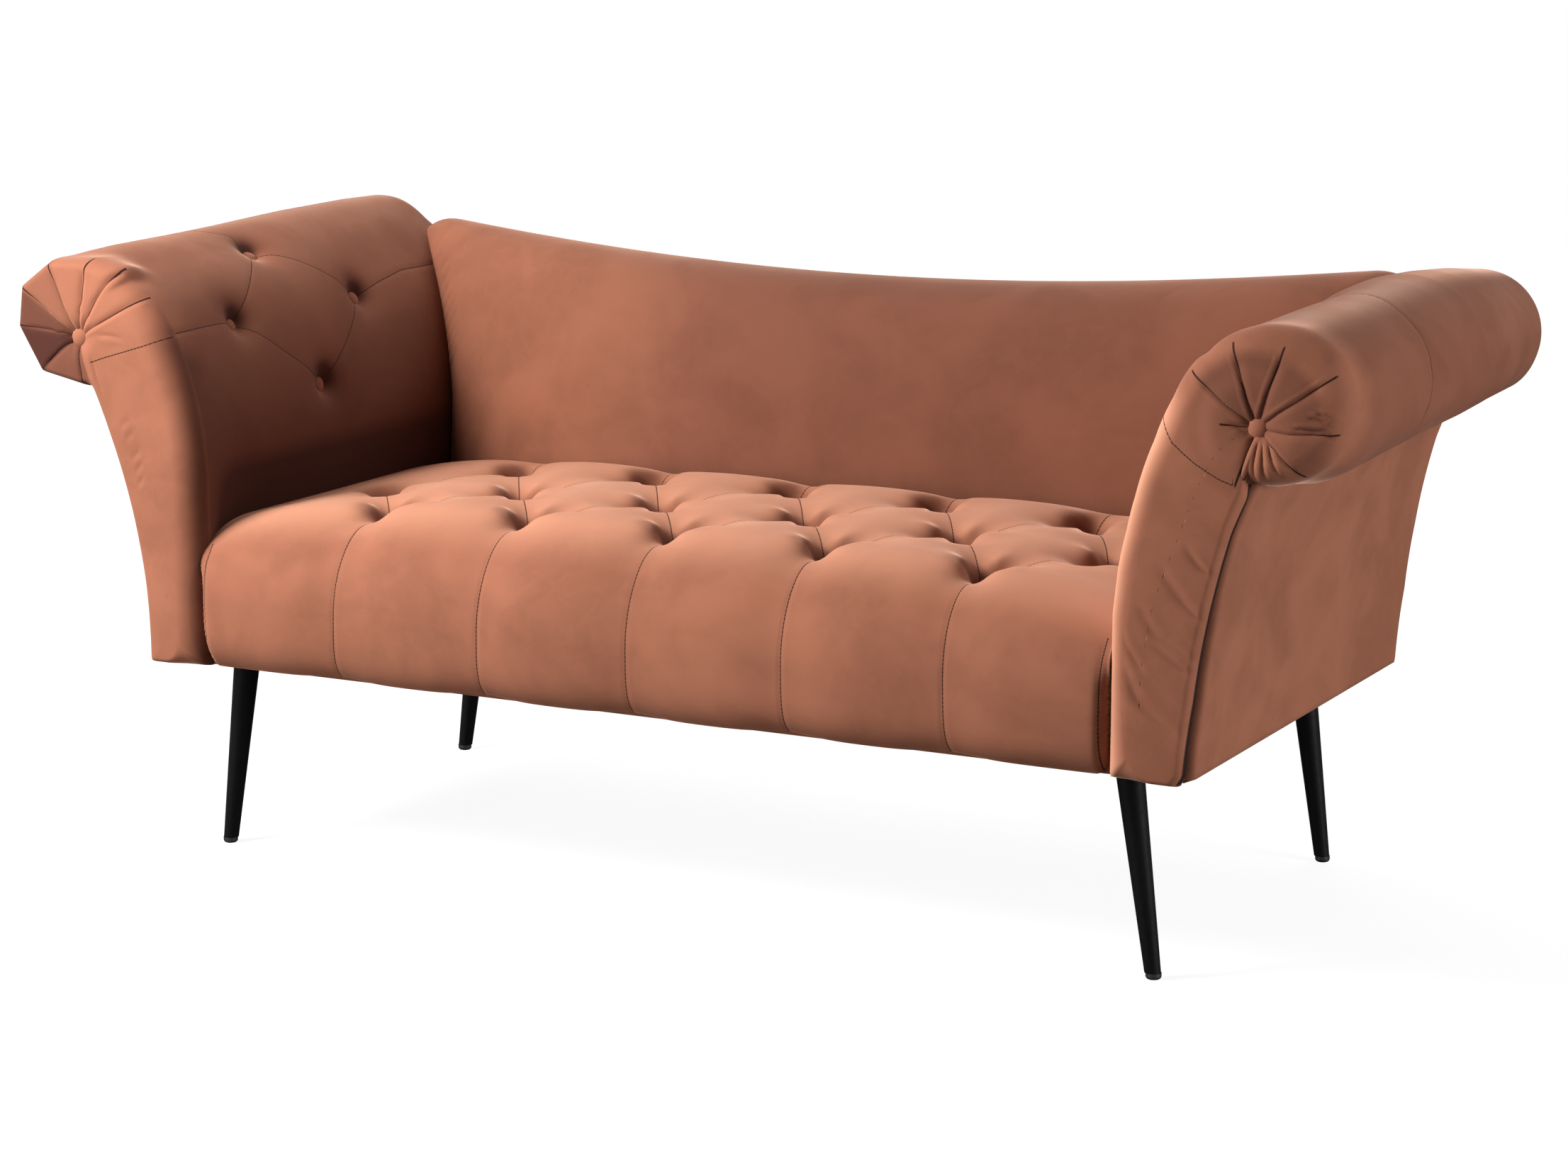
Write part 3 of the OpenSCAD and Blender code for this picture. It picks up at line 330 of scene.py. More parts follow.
class Shader:
    """A material's node tree, with short names for the nodes that the lesson uses."""

    def __init__(self, name):
        self.material = bpy.data.materials.new(name)
        self.material.use_nodes = True
        self.tree = self.material.node_tree
        self.main = self.tree.nodes["Principled BSDF"]

    def plug(self, socket, value):
        """Links an input to a node's output, or sets its value."""
        if isinstance(value, bpy.types.NodeSocket):
            self.tree.links.new(value, socket)
        else:
            socket.default_value = value

    def node(self, kind, inputs=(), **settings):
        made = self.tree.nodes.new(kind)
        for key, value in settings.items():
            setattr(made, key, value)
        for key, value in dict(inputs).items():
            self.plug(made.inputs[key], value)
        return made

    def math(self, operation, a, b=0.0, clamp=False):
        made = self.node("ShaderNodeMath", {0: a, 1: b}, operation=operation)
        made.use_clamp = clamp
        return made.outputs[0]

    def noise(self, scale, detail=2.0, rough=0.5, distortion=0.0):
        place = self.node("ShaderNodeTexCoord").outputs["Object"]
        return self.node("ShaderNodeTexNoise", {
            "Vector": place, "Scale": scale, "Detail": detail, "Roughness": rough,
            "Distortion": distortion}).outputs["Fac"]

    def ramp(self, value, low, high, to_low=0.0, to_high=1.0):
        return self.node("ShaderNodeMapRange", {
            "Value": value, "From Min": low, "From Max": high, "To Min": to_low,
            "To Max": to_high}, interpolation_type="SMOOTHSTEP").outputs["Result"]

    def mix(self, share, a, b):
        return self.node("ShaderNodeMix", {0: share, 6: a, 7: b}, data_type="RGBA").outputs[2]

    def attribute(self, name):
        return self.node("ShaderNodeAttribute", attribute_name=name).outputs["Fac"]

    def set(self, **inputs):
        for key, value in inputs.items():
            self.plug(self.main.inputs[key.replace("_", " ")], value)
        return self.material


print("an sRGB value of 128 is", round(float(linear(128, 128, 128)[0]), 3), "in linear light")

# %% [markdown]
# ## Velvet
# The cover is a cotton velvet: short upright pile on a woven ground. It looks dark where one
# looks into the pile and pale at grazing angles, which the shader's sheen gives. Hands and
# seams push the pile this way and that, so that the colour is mottled in soft patches; the
# patches come from noise on object coordinates. Along the seams a thread shows as a thin
# dark dashed line, drawn from the distance to the seam that the surfaces carry. Light and
# shade are also painted into the colour, from a value that the surfaces carry. Painted shade
# goes in the tuft hollows, the rosettes' sectors, the slot and the left arm's inner face.
# A painted highlight goes on the seat's top and the right arm's inner edge, and a dark line
# of painted shade runs along each pleat.

# %% Velvet
def velvet(name, stitched=True):
    """Velvet; stitched adds the pile and painted light, near-black painted shade, threads and
    dark pleat lines.
    """
    s = Shader(name)
    patches = s.ramp(s.noise(7, 3, 0.55, 0.6), 0.36, 0.66)
    marks = s.ramp(s.noise(38, 3, 0.6, 0.8), 0.35, 0.7)
    grain = s.noise(900, 2, 0.6)
    colour = s.mix(patches, linear(134, 84, 63), linear(150, 95, 72))
    colour = s.mix(s.math("MULTIPLY", marks, 0.2), colour, linear(160, 100, 78))
    colour = s.mix(s.math("MULTIPLY", grain, 0.3), colour, linear(110, 66, 50))
    sheen = s.mix(patches, linear(240, 188, 160), linear(250, 212, 190))
    height = s.math("MULTIPLY", grain, 0.5)
    if stitched:
        # The surfaces carry a value that paints light into the colour. Above 0 it paints shade,
        # partly the pile's direction, and the shade also dims the sheen. Below 0 it paints a
        # highlight.
        nap = s.attribute("nap")
        dark = s.math("MULTIPLY", nap, 1.0, True)
        pale = s.math("MULTIPLY", nap, -1.0, True)
        colour = s.mix(pale, s.mix(dark, colour, linear(64, 32, 24)), linear(215, 152, 122))
        sheen = s.mix(s.math("MULTIPLY", dark, 0.7), sheen, linear(90, 52, 40))
        # From 1.6 up the painted shade turns near black. This covers the slot under the outside
        # panel and the low part of the left arm's inner face beside the seat.
        slot = s.ramp(nap, 1.6, 2.4)
        colour = s.mix(slot, colour, linear(22, 11, 8))
        sheen = s.mix(slot, sheen, linear(30, 15, 11))
        # A thin dark line lies beside each seam and each pleat. On the seams it is a dashed
        # thread. On the pleats the run stays the same, so the line is solid and is painted shade.
        off = s.math("ABSOLUTE", s.attribute("side"))
        thin = s.ramp(off, 0.3, 1.0, 1.0, 0.0)
        thread_and_pleat_shade = s.math("MULTIPLY", thin, s.ramp(s.attribute("near"), 4.0, 6.0, 1.0, 0.0))
        beat = s.math("PINGPONG", s.attribute("along"), 2.4)
        thread_and_pleat_shade = s.math("MULTIPLY", thread_and_pleat_shade, s.ramp(beat, 0.5, 1.2, 0.6, 1.0))
        colour = s.mix(thread_and_pleat_shade, colour, linear(36, 17, 12))
        sheen = s.mix(thread_and_pleat_shade, sheen, linear(36, 17, 12))
    bump = s.node("ShaderNodeBump", {"Height": height, "Strength": 0.25, "Distance": 0.0006})
    return s.set(Base_Color=colour, Roughness=0.85, Sheen_Weight=0.55, Sheen_Roughness=0.3,
                 Sheen_Tint=sheen, Specular_IOR_Level=0.15, Normal=bump.outputs["Normal"])


VELVET = velvet("velvet")
PLAIN_VELVET = velvet("velvet without seams", stitched=False)
print("velvet has", len(VELVET.node_tree.nodes), "nodes")

# %% [markdown]
# ## Plain materials
# The legs are lacquered black, nearly matt. The frame is hidden, but it is seen when the couch
# is opened, so timber, board, steel, webbing, cloth and foam each have their own colour. They
# share one recipe: a colour that noise darkens in places. Pictures of wood would show more,
# but need files.

# %% Plain materials and the frame's finishes
def plain(name, rgb, roughness, scale=60.0, metallic=0.0, spread_of=0.15, level=0.5):
    """One colour, darkened in places by noise, with a roughness that varies by 0.06."""
    s = Shader(name)
    share = s.math("MULTIPLY", s.noise(scale, 3), spread_of)
    dark = tuple(c * 0.55 for c in linear(*rgb)[:3]) + (1.0,)
    rough = s.ramp(s.noise(scale * 2.5, 2), 0.2, 0.8, roughness - 0.06, roughness + 0.06)
    return s.set(Base_Color=s.mix(share, linear(*rgb), dark), Roughness=rough, Metallic=metallic,
                 Specular_IOR_Level=level)


BLACK = plain("black lacquer", (3, 3, 4), 0.55, level=0.1)
GLIDE = plain("black plastic", (16, 16, 16), 0.5)
STEEL = plain("zinc plated steel", (170, 172, 176), 0.35, metallic=1.0)
TIMBER = plain("beech", (196, 152, 104), 0.6, 25, spread_of=0.5)
PLY = plain("birch plywood", (205, 170, 125), 0.6, 25, spread_of=0.5)
BOARD = plain("hardboard", (120, 82, 52), 0.7, 200, spread_of=0.4)
WEB = plain("webbing", (54, 50, 46), 0.85, 300, spread_of=0.6)
CLOTH = plain("dust cloth", (28, 28, 30), 0.95, 500, spread_of=0.6)
FOAM = plain("foam", (232, 222, 186), 0.9, 400, spread_of=0.3)

for name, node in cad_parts.items():
    kinds = (("glide", GLIDE), ("leg_plate", STEEL), ("leg_stud", STEEL), ("leg_", BLACK),
             ("screws", STEEL), ("bolts", STEEL), ("webbing", WEB), ("dust", CLOTH),
             ("foam", FOAM), ("_board", PLY), ("skin", BOARD), ("tube", BOARD),
             ("rail", TIMBER), ("block", TIMBER), ("post", TIMBER))
    found = [m for key, m in kinds if key in name]
    node.data.materials.clear()
    node.data.materials.append(found[0] if found else PLAIN_VELVET)
print("materials", [m.name for m in bpy.data.materials])

# %% [markdown]
# ## Seat
# One padded cover runs up over the front border, back over the seat and down behind it. Its
# front is a quarter of an ellipse above the border's middle and a superellipse of the power
# 3.6 below, and the top falls beside the arms by 37 |x / 562|^4. Sixteen tufts stand in rows
# of five, six and five. A swept curve would give the same section at every place; the formula
# lets it change toward the arms and round the two front corners.

# %% Seat's full form
PITCH = 187.2
ROWS = (-218.0, -88.0, 64.0)
seat_tufts = [((k - (n - 1) / 2) * PITCH, y) for y, n in zip(ROWS, (5, 6, 5)) for k in range(n)]

border_mid, border_up, border_low = 305.0, 126.0, 91.0
low_turn = math.asin(((border_mid - UNDER) / border_low) ** 1.8)
turn = np.linspace(-low_turn, math.pi / 2, 600)
power = np.where(turn < 0, 2 / 3.6, 1.0)
border = np.stack([
    BORDER_Y - (BORDER_Y - FRONT) * np.cos(turn) ** power,
    border_mid + np.where(turn < 0, -border_low, border_up) * np.abs(np.sin(turn)) ** power], 1)
border = spread(border, STEP)
border_run = run_along(border)
TOP_RUN = border_run[-1]
print(len(seat_tufts), "tufts; the border's section is", TOP_RUN.round(), "mm long")


def seat_base(x, border_yz, v):
    """Grid of the full cover, and its flat places (x, run up the front and back)."""
    n, b, t = len(x), len(border_yz), len(v)
    end = seat_end(x) - 0.8
    away = np.abs(x)[:, None] / HALF
    up, power = (border_yz[:, 1] - border_mid) / border_up, 2 + 0.5 * away**4
    front = np.where(up > 0, (1 - np.clip(up, 0, 1) ** power) ** (1 / power),
                     (BORDER_Y - border_yz[:, 0]) / (BORDER_Y - FRONT))
    y = np.concatenate([BORDER_Y - (BORDER_Y - FRONT) * front,
                        BORDER_Y + (end[:, None] - BORDER_Y) * v], 1)
    z = np.concatenate([np.tile(border_yz[:, 1], (n, 1)),
                        np.full((n, t), border_mid + border_up)], 1)
    run = np.concatenate([np.tile(border_run, (n, 1)), TOP_RUN + y[:, b:] - BORDER_Y], 1)
    corner = 1 - np.sqrt(1 - np.clip((np.abs(x) - HALF + 16) / 16, 0, 0.999) ** 2)[:, None]
    y = y + 20 * corner * smooth((380 - z) / 60)
    y = np.where(z < 372, np.minimum(y, BOARD_Y - 0.5), y)
    z = np.where(z < border_mid, border_mid - (border_mid - z) * (1 - corner / 3),
                 border_mid + (z - border_mid) * (1 - 37 * away**4 / border_up))
    z = z - 26 * lip((end[:, None] - y) / 75)
    xs = np.repeat(x[:, None], b + t, 1)
    return np.stack([xs, y, z], -1).reshape(-1, 3), np.stack([xs, run], -1).reshape(-1, 2)


# %% [markdown]
# ## Stitches of the seat
# The tufts are joined crosswise by seams, a channel runs from each front tuft down to the
# border's foot and a seam from each rear tuft to the back. Beside each arm an upright seam
# puckers the velvet. A crease brush could draw them, but lists of paths keep the pattern
# even. Painted shade darkens the colour to the left of and behind each tuft, in the walls of
# the hollow that face away from the light. A painted highlight makes the seat's top paler.

# %% Seat cover
def pucker(flat, marks):
    """A closing seam at |x| = 554: ripples 0.6 (0.8 + sin(run / 1.3)) that die out beside it."""
    x, run = flat.T
    off, end = 554 - np.abs(x), TOP_RUN * 0.68
    up = smooth((end - run) / 20)
    stitch(marks, np.where(run < end, np.abs(off), 99.0), off, run)
    beat = run / 1.3 + 1.5 * np.sin(run / 17)
    ripple = (0.8 + np.sin(beat)) * np.exp(-np.abs(off) / 8) * 0.6
    return up * (1.5 * np.exp(-np.abs(off) / 3) + ripple)


def seat_cover():
    """The seat's cover with its tufts, seams and pucker, and the places of its buttons."""
    x = np.linspace(-HALF + 0.3, HALF - 0.3, int(2 * HALF / 3))
    v = np.linspace(0, 1, int(390 / 3) + 1)[1:]
    base, flat = seat_base(x, border, v)
    n, m = len(x), len(border) + len(v)
    outer = grid(n, m)[:, ::-1]
    up = normals_of(base, outer)
    run = lambda y: TOP_RUN + y - BORDER_Y
    tufts = [np.array([tx, run(ty)]) for tx, ty in seat_tufts]
    seams = []
    for k in range(5):
        for e in (0, 1):
            seams += [[tufts[k], tufts[5 + k + e]], [tufts[5 + k + e], tufts[11 + k]]]
        tx = tufts[k][0]
        seams += [[(tx * 190 / PITCH, 0), (tx * 188 / PITCH, TOP_RUN * 0.6), tufts[k]],
                  [tufts[11 + k], (tx, run(seat_end(tx)))]]
    depth, marks = quilt(flat, tufts, seams, 13, 3, 9, 1.2, 6, reach=12)
    # Painted shade goes in each tuft's hollow, deepest to its left and rear, which face away from
    # the light. A painted highlight goes over the seat's top, partly for the pile's direction.
    off, r = from_tuft(flat, tufts)
    rear_left = off @ np.array([-0.8, 0.6]) / np.maximum(r, 1)
    marks["nap"] = (np.exp(-((r / 28) ** 2)) * (0.75 + 0.6 * rear_left)
                    - 0.5 * smooth((flat[:, 1] - TOP_RUN * 0.6) / 90))
    back = smooth((run(seat_end(flat[:, 0])) - flat[:, 1] - 20) / 60)
    depth = depth + sunk(flat, tufts, seams, back) + pucker(flat, marks)
    points = base - up * depth[:, None]
    # four rows close the cover: under the border, up the rail's front, and over the foam slab
    hidden = [np.stack(np.broadcast_arrays(x, y, z), 1) for y, z in (
        (BOARD_Y + 24, UNDER - 0.9), (BOARD_Y - 0.3, UNDER - 0.4), (BOARD_Y - 0.3, PAD_Z),
        (seat_end(x) - 0.8, PAD_Z))]
    everything = np.concatenate([points] + hidden)
    made = build("seat_cover", everything, closed(outer, n, m, 4, 2), VELVET,
                 **widen(marks, 0, 4 * n))
    return made, button_spots(tufts, flat, points, up)


seat, seat_spots = seat_cover()
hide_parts("seat_pad")

# %% [markdown]
# ## Covered buttons
# Each button is a metal cap with velvet drawn over it: a dome on a short collar. It is turned
# from one profile about the direction in which the cover faces at its tuft. Scaled spheres
# would be quicker, but would have no collar and no edge.

# %% Buttons
def buttons(name, spots, radius, dome, sink, node):
    """Revolved caps: radius r sin(t) and height h cos(t), then a collar that turns in."""
    t = np.linspace(0, math.pi / 2, 10)
    profile = np.concatenate([np.stack([radius * np.sin(t), dome * np.cos(t)], 1),
                              [[radius * 0.97, -dome * 0.4], [radius * 0.8, -dome * 0.8]]])
    turns = np.linspace(0, 2 * math.pi, 33)[:-1]
    points, faces = [], []
    for place, axis in spots:
        axis = axis / np.linalg.norm(axis)
        u = np.cross(axis, [0.3, 0.9, 0.2])
        u /= np.linalg.norm(u)
        w = np.cross(axis, u)
        ring = np.cos(turns)[:, None] * u + np.sin(turns)[:, None] * w
        across, along = profile.T
        cap = place + across[:, None, None] * ring + (along - sink)[:, None, None] * axis
        faces.append(grid(len(profile), 32, True)[:, ::-1] + sum(len(p) for p in points))
        points.append(cap.reshape(-1, 3))
    made = build(name, np.concatenate(points), np.concatenate(faces), PLAIN_VELVET)
    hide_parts(node)
    return made


buttons("seat_button_caps", seat_spots, 9, 4, -1, "seat_buttons")

# %% [markdown]
# ## Arms
# An arm's cover is one skin. It rises from the seat, bends outward, rolls over and ends under
# the roll. At the front it is drawn over a padded face, whose slack is gathered in pleats
# around a large button, and at the rear it is turned over a thin board. One closed section
# serves for all three parts, so that they meet point by point, as bent sheets would not.

# %% Arm's outline
def arm_outline():
    """Closed section of an arm: inner side, bend, roll, outer side and foot, in (x, z)."""
    a = np.linspace(0, math.pi / 2, 200)
    bend = np.stack([BEND_X - BEND_W * np.cos(a), BEND_Z + BEND_H * np.sin(a)], 1)
    a = np.radians(np.linspace(90, -110.5, 200))
    roll = ROLL + ROLL_R * np.stack([np.cos(a), np.sin(a)], 1)
    z = np.linspace(roll[-1, 1], UNDER, 120)
    outer = np.stack([side_x(z) - 4, z], 1)
    inner = [[HALF, UNDER], [HALF, BEND_Z]]
    return (spread(np.concatenate([inner, bend[1:]]), 3.2), spread(roll, 2.6)[1:],
            spread(outer, 3.2)[1:-1], spread([outer[-1], inner[0]], 4.0)[:-1])


inner_part, roll_part, outer_part, foot_part = arm_outline()
OUTLINE = np.concatenate([inner_part, roll_part, outer_part, foot_part])
ARM_RUN = run_along(OUTLINE)
N_IN = len(inner_part)  # first point of the roll
N_ROLL = N_IN + len(roll_part)  # first point of the outer side
N_OUT = N_ROLL + len(outer_part)  # first point of the foot


def outline_run(place):
    """Run along the outline of the point nearest to a place."""
    k = np.argmin(np.linalg.norm(OUTLINE[:N_ROLL] - place, axis=1))
    return ARM_RUN[k]


print("an arm's outline has", len(OUTLINE), "points and is", ARM_RUN[-1].round(), "mm long")

# %% [markdown]
# ## Middle line of an arm's face
# The front of an arm is a pad stapled over a board: highest along a middle line and rounded
# down to the edge. The line is a Bezier curve from the foot up to the hub of the roll. Every
# point of the outline is joined to its own point of that line; a filled polygon could not
# follow the pad's form.

# %% Middle line and edge
SPINE = [(598.5, 262), (600, 430), (640, 575), HUB]
FOOT_Z = 240  # below this height all is drawn to the foot of the middle line


def bezier(points, t):
    """Bezier curve of four points: sum of binomial weights times the points."""
    t = np.asarray(t)[:, None]
    p = np.asarray(points, float)
    return ((1 - t) ** 3 * p[0] + 3 * t * (1 - t) ** 2 * p[1] + 3 * t**2 * (1 - t) * p[2]
            + t**3 * p[3])


def targets():
    """For each outline point, the point of the face's middle line that it is drawn to."""
    z = OUTLINE[:, 1]
    inner = np.arange(len(OUTLINE)) < N_IN
    t = np.where(inner, np.clip((z - FOOT_Z) / (602 - FOOT_Z), 0, 1), 1.0)
    outer = np.arange(len(OUTLINE)) >= N_ROLL
    t = np.where(outer, np.clip((z - FOOT_Z) / (547 - FOOT_Z), 0, 1), t)
    t[N_OUT:] = 0
    return bezier(SPINE, t)


def snapped(places):
    """Moves places on the middle line to its 121 even points, so that both sides meet."""
    even = bezier(SPINE, np.linspace(0, 1, 121))
    near = np.argmin(np.linalg.norm(places[:, None] - even[None], axis=2), axis=1)
    return even[near]


def inward(turns, radius, most, steps):
    """Shares of the way to the middle line: radius (1 - cos t) at the edge, then even steps."""
    reach = np.linalg.norm(targets() - OUTLINE, axis=1)
    share = [np.minimum(most, radius * (1 - math.cos(t)) / reach) for t in turns]
    share += [share[-1] + (1 - share[-1]) * k / steps for k in range(1, steps + 1)]
    return np.stack(share)


def edge_radius(on_roll):
    """How far an edge of the face is rounded: broad inside, tight along the outside panel."""
    tight = 6
    radius = np.full(len(OUTLINE), FACE_T)
    radius[N_IN:N_ROLL] = on_roll
    blend = smooth(np.arange(40) / 39)
    radius[N_IN - 40:N_IN] = FACE_T + (on_roll - FACE_T) * blend
    radius[N_ROLL:] = tight
    radius[N_OUT:] = tight + (FACE_T - tight) * smooth((HALF + 50 - OUTLINE[N_OUT:, 0]) / 50)
    return radius


print("the middle line ends at", bezier(SPINE, [1.0])[0], "the hub of the roll")

# %% [markdown]
# ## Padded face
# The pad rises by a quarter circle at its edge and bulges a little more to the middle line.
# Around the large button the velvet is pulled in, 9 exp(-(r / 15)^2), and may swell in a ring
# outside it. Pleats run out from the button: a narrow valley with a raised edge beside it.
# They could be sculpted, but as paths with a depth and a width each one can be set by itself.

# %% Pleats and face
def gathered(flat, creases):
    """Pleats of a rosette: each falls from the hub to its tip beside a small raised edge."""
    power, ridge = np.zeros(len(flat)), np.zeros(len(flat))
    for path, depth, width, raised in creases:
        gap, side, run, length = trace(flat, path)
        s = run / length
        w = width * (0.5 + 0.6 * s)
        ends = (1 - smooth((s - 0.75) / 0.25)) * (0.6 + 0.4 * np.minimum(1, 3 * s))
        power += (depth * ends * lip(np.sqrt(gap**2 + 0.6) / w)) ** 3
        inside = smooth(s / 0.15) * smooth((1 - s) / 0.15)
        ridge += raised * inside * np.exp(-(((side - 3.6) / 2.6) ** 2))
    return power ** (1 / 3) - ridge


def face(on_roll, folds, creases, swell, bulge):
    """The face's rings from its edge to its middle line, and its flat places in (x, z)."""
    target, edge = targets(), edge_radius(on_roll)
    turns = np.linspace(0, math.pi / 2, 10)
    share = inward(turns, edge, 0.8, 30)
    rings = OUTLINE + (target - OUTLINE) * share[..., None]
    rings[-1] = snapped(target)
    flat = rings.reshape(-1, 2)
    gap = trace(flat, np.concatenate([OUTLINE, OUTLINE[:1]]))[0].reshape(share.shape)
    gap[0] = 0
    rise = FACE_T * np.sqrt(1 - (1 - np.minimum(gap / edge, 1)) ** 2)
    y = BOARD_Y - rise - 2.0 * (1 - (1 - share) ** 2)
    from_hub = np.linalg.norm(flat - HUB, axis=1).reshape(gap.shape)
    free = smooth(gap / 12)
    y = y - swell * np.exp(-((from_hub - 44) / 18) ** 2) * free
    y = y + 9 * np.exp(-((from_hub / 15) ** 2))
    y = y + folded(flat, folds).reshape(gap.shape) * smooth(gap / 6)
    y = y + gathered(flat, creases).reshape(gap.shape)
    # the outer edge bulges over the outside panel's front, or is drawn back from it
    x, z = OUTLINE.T
    outer = (np.arange(len(OUTLINE)) >= N_ROLL) * np.clip((x - HALF) / 70, 0, 1)
    foot = 0.3 + 0.7 * smooth((z - 228) / 14) if bulge > 0 else 1
    bulge = bulge * foot * outer * (10 + lean(z)) * smooth((548 - z) / 25)
    rise_share = np.sin(np.minimum(2 * turns, math.pi / 2))
    share = np.concatenate([rise_share, 1 - smooth(np.arange(1, 31) / 30)])
    rings[..., 0] += share[:, None] * bulge
    return np.stack([rings[..., 0], y, rings[..., 1]], -1), flat


print("a face has 40 rings of", len(OUTLINE), "points")

# %% [markdown]
# ## Tufted sheet, turned edges and rear face
# The sheet between the faces is quilted like the seat, in places of (run along the section,
# y). Where the outside panel covers the edge, the velvet is turned in and leaves a slot, which
# the colour paints near black as shade.
# The rear face is a board with one layer of velvet: its edge turns round 10 mm and it is flat
# inside.

# %% Parts of an arm's skin
REAR_TURN = 10  # how far the rear face's edge is turned round
REAR_RISE = 9  # how far the rear face stands behind the body


def tucked(edge, first):
    """Three rings behind the face's edge, turned in where the outside panel lies over them."""
    column = np.arange(len(OUTLINE))
    covered = (column >= N_ROLL - 2)[:, None]
    rings = []
    for depth, inset in ((9, 3.6), (5, 2.2), (2, 2.6)):
        step = np.stack([-inset * (column < N_OUT), np.full(len(column), depth),
                         inset * (column >= N_OUT)], 1)
        low = ((column < first) * 3.0 * depth)[:, None] * [0, 1, 0]
        rings.append(np.where(covered, edge + step, edge + low))
    return np.stack(rings)


def tufted_sheet(cols, quilting, sheet_nap, edge_nap):
    """The quilted sheet over the columns cols of the outline, with its marks and tufts."""
    ys = np.concatenate([np.linspace(BOARD_Y, 132, 140), np.linspace(132, BODY_Y, 42)[1:]])
    sheet = np.empty((len(ys), len(cols), 3))
    sheet[..., 0], sheet[..., 2] = OUTLINE[cols, 0], OUTLINE[cols, 1]
    sheet[..., 1] = ys[:, None]
    base = sheet.reshape(-1, 3)
    faces = grid(len(ys), len(cols))
    out = normals_of(base, faces)
    place = np.stack([np.tile(ARM_RUN[cols], len(ys)), base[:, 1]], 1)
    tufts, seams = quilting
    depth, marks = quilt(place, tufts, seams, 18, 9, 12, 1.2, 9, reach=20)
    depth = depth * smooth((place[:, 1] - BOARD_Y + 12) / 12)
    # The sheet is darkened along the section, partly for the pile's direction and partly as
    # painted shade. It is deepest low by the seat on the left arm, and on the right roll's top.
    nap = np.interp(place[:, 0], [120, 240, 420], sheet_nap)
    onset = smooth((place[:, 1] - BOARD_Y) / 55)
    off, r = from_tuft(place, tufts)
    # Painted light of the sheet: a painted highlight by the inner edge on the right arm and
    # painted shade there on the left, the darkening above, and painted shade in each tuft's
    # hollow, deepest above its button.
    marks["nap"] = (edge_nap * (1 - onset) * smooth((400 - place[:, 0]) / 60) + nap * onset
                    + np.exp(-((r / 22) ** 2)) * (0.6 + 0.9 * off[:, 0] / np.maximum(r, 1)))
    body = base - out * depth[:, None]
    return body, faces, marks, button_spots(tufts, place, body, out)


def rear_face():
    """Rings of the rear face: a quarter turn of its edge, then flat to the middle line."""
    turns = np.linspace(0, math.pi / 2, 5)[1:]
    ys = [BODY_Y + REAR_RISE * math.sin(t) for t in turns] + [BODY_Y + REAR_RISE] * 8
    rings = [np.insert(OUTLINE, 1, BODY_Y, axis=1)]
    for s, y in zip(inward(turns, REAR_TURN, 0.6, 8), ys):
        rings.append(np.insert(OUTLINE + (targets() - OUTLINE) * s[:, None], 1, y, axis=1))
    return np.concatenate(rings)


print("the rear face has", len(rear_face()) // len(OUTLINE), "rings")

# %% [markdown]
# ## Marks of the face
# The shader needs to know where the pile lies over, where threads run and where the slot is.
# With them it paints light into the colour. The rosette's sectors are darker, partly for the
# pile's direction and partly as painted shade. The right arm's inner edge is paler as a
# painted highlight and the left one's is darker as painted shade. The slot is near black, and
# a dark line of painted shade runs along each pleat. A painted mask would do the same, but
# would not follow the form when the sizes change.

# %% Marks and one arm's skin
def mark_face(marks, rows, flat, seam, creases, edge_nap):
    """Paints light on the face and sets the seam's threads and dark pleat lines of painted shade.
    Along the inner edge it paints a highlight where the amount is negative and shade where it is
    positive. The slot is painted near black.
    """
    n = len(OUTLINE)
    row, column = np.divmod(np.arange(rows * n), n)
    # along the face's inner edge, below the roll, the colour takes a painted highlight on the
    # right arm and painted shade on the left
    inner = (column < N_IN) * smooth((650 - OUTLINE[column, 1]) / 60)
    # the slot under the outside panel is painted near black as shade
    slot = (column > N_ROLL) & (column < N_OUT) & (row < 9)
    marks["nap"][:rows * n] = edge_nap * inner * (1 - smooth(np.abs(row - 3.0) / 10)) + 2.6 * slot
    own = {key: value[3 * n:rows * n] for key, value in marks.items()}
    gap, off, run, _ = trace(flat, seam)
    stitch(own, gap, off, run)
    # each pleat gets a solid dark line along its valley, drawn like a thread but painted shade
    for path, *_ in creases:
        gap, off, run, _ = trace(flat, path)
        stitch(own, gap, off / 1.7, np.full(len(flat), 2.4))
    for key, value in own.items():
        marks[key][3 * n:rows * n] = value


def about(points, axis):
    """Angles in degrees and radii of points (x, z) about an axis along y."""
    off = points - axis
    return np.degrees(np.arctan2(off[:, 1], off[:, 0])), np.linalg.norm(off, axis=1)


def shaded(points, shades):
    """Pile and painted shade of the rosette's sectors, each given as (from, to, amount, radius).
    """
    angle, r = about(points[:, [0, 2]], HUB)
    total = sum(
        amount * smooth((angle - low) / 4 + 0.5) * smooth((high - angle) / 4 + 0.5)
        * smooth((radius - r) / 18) for low, high, amount, radius in shades)
    return smooth((-300 - points[:, 1]) / 10) * total


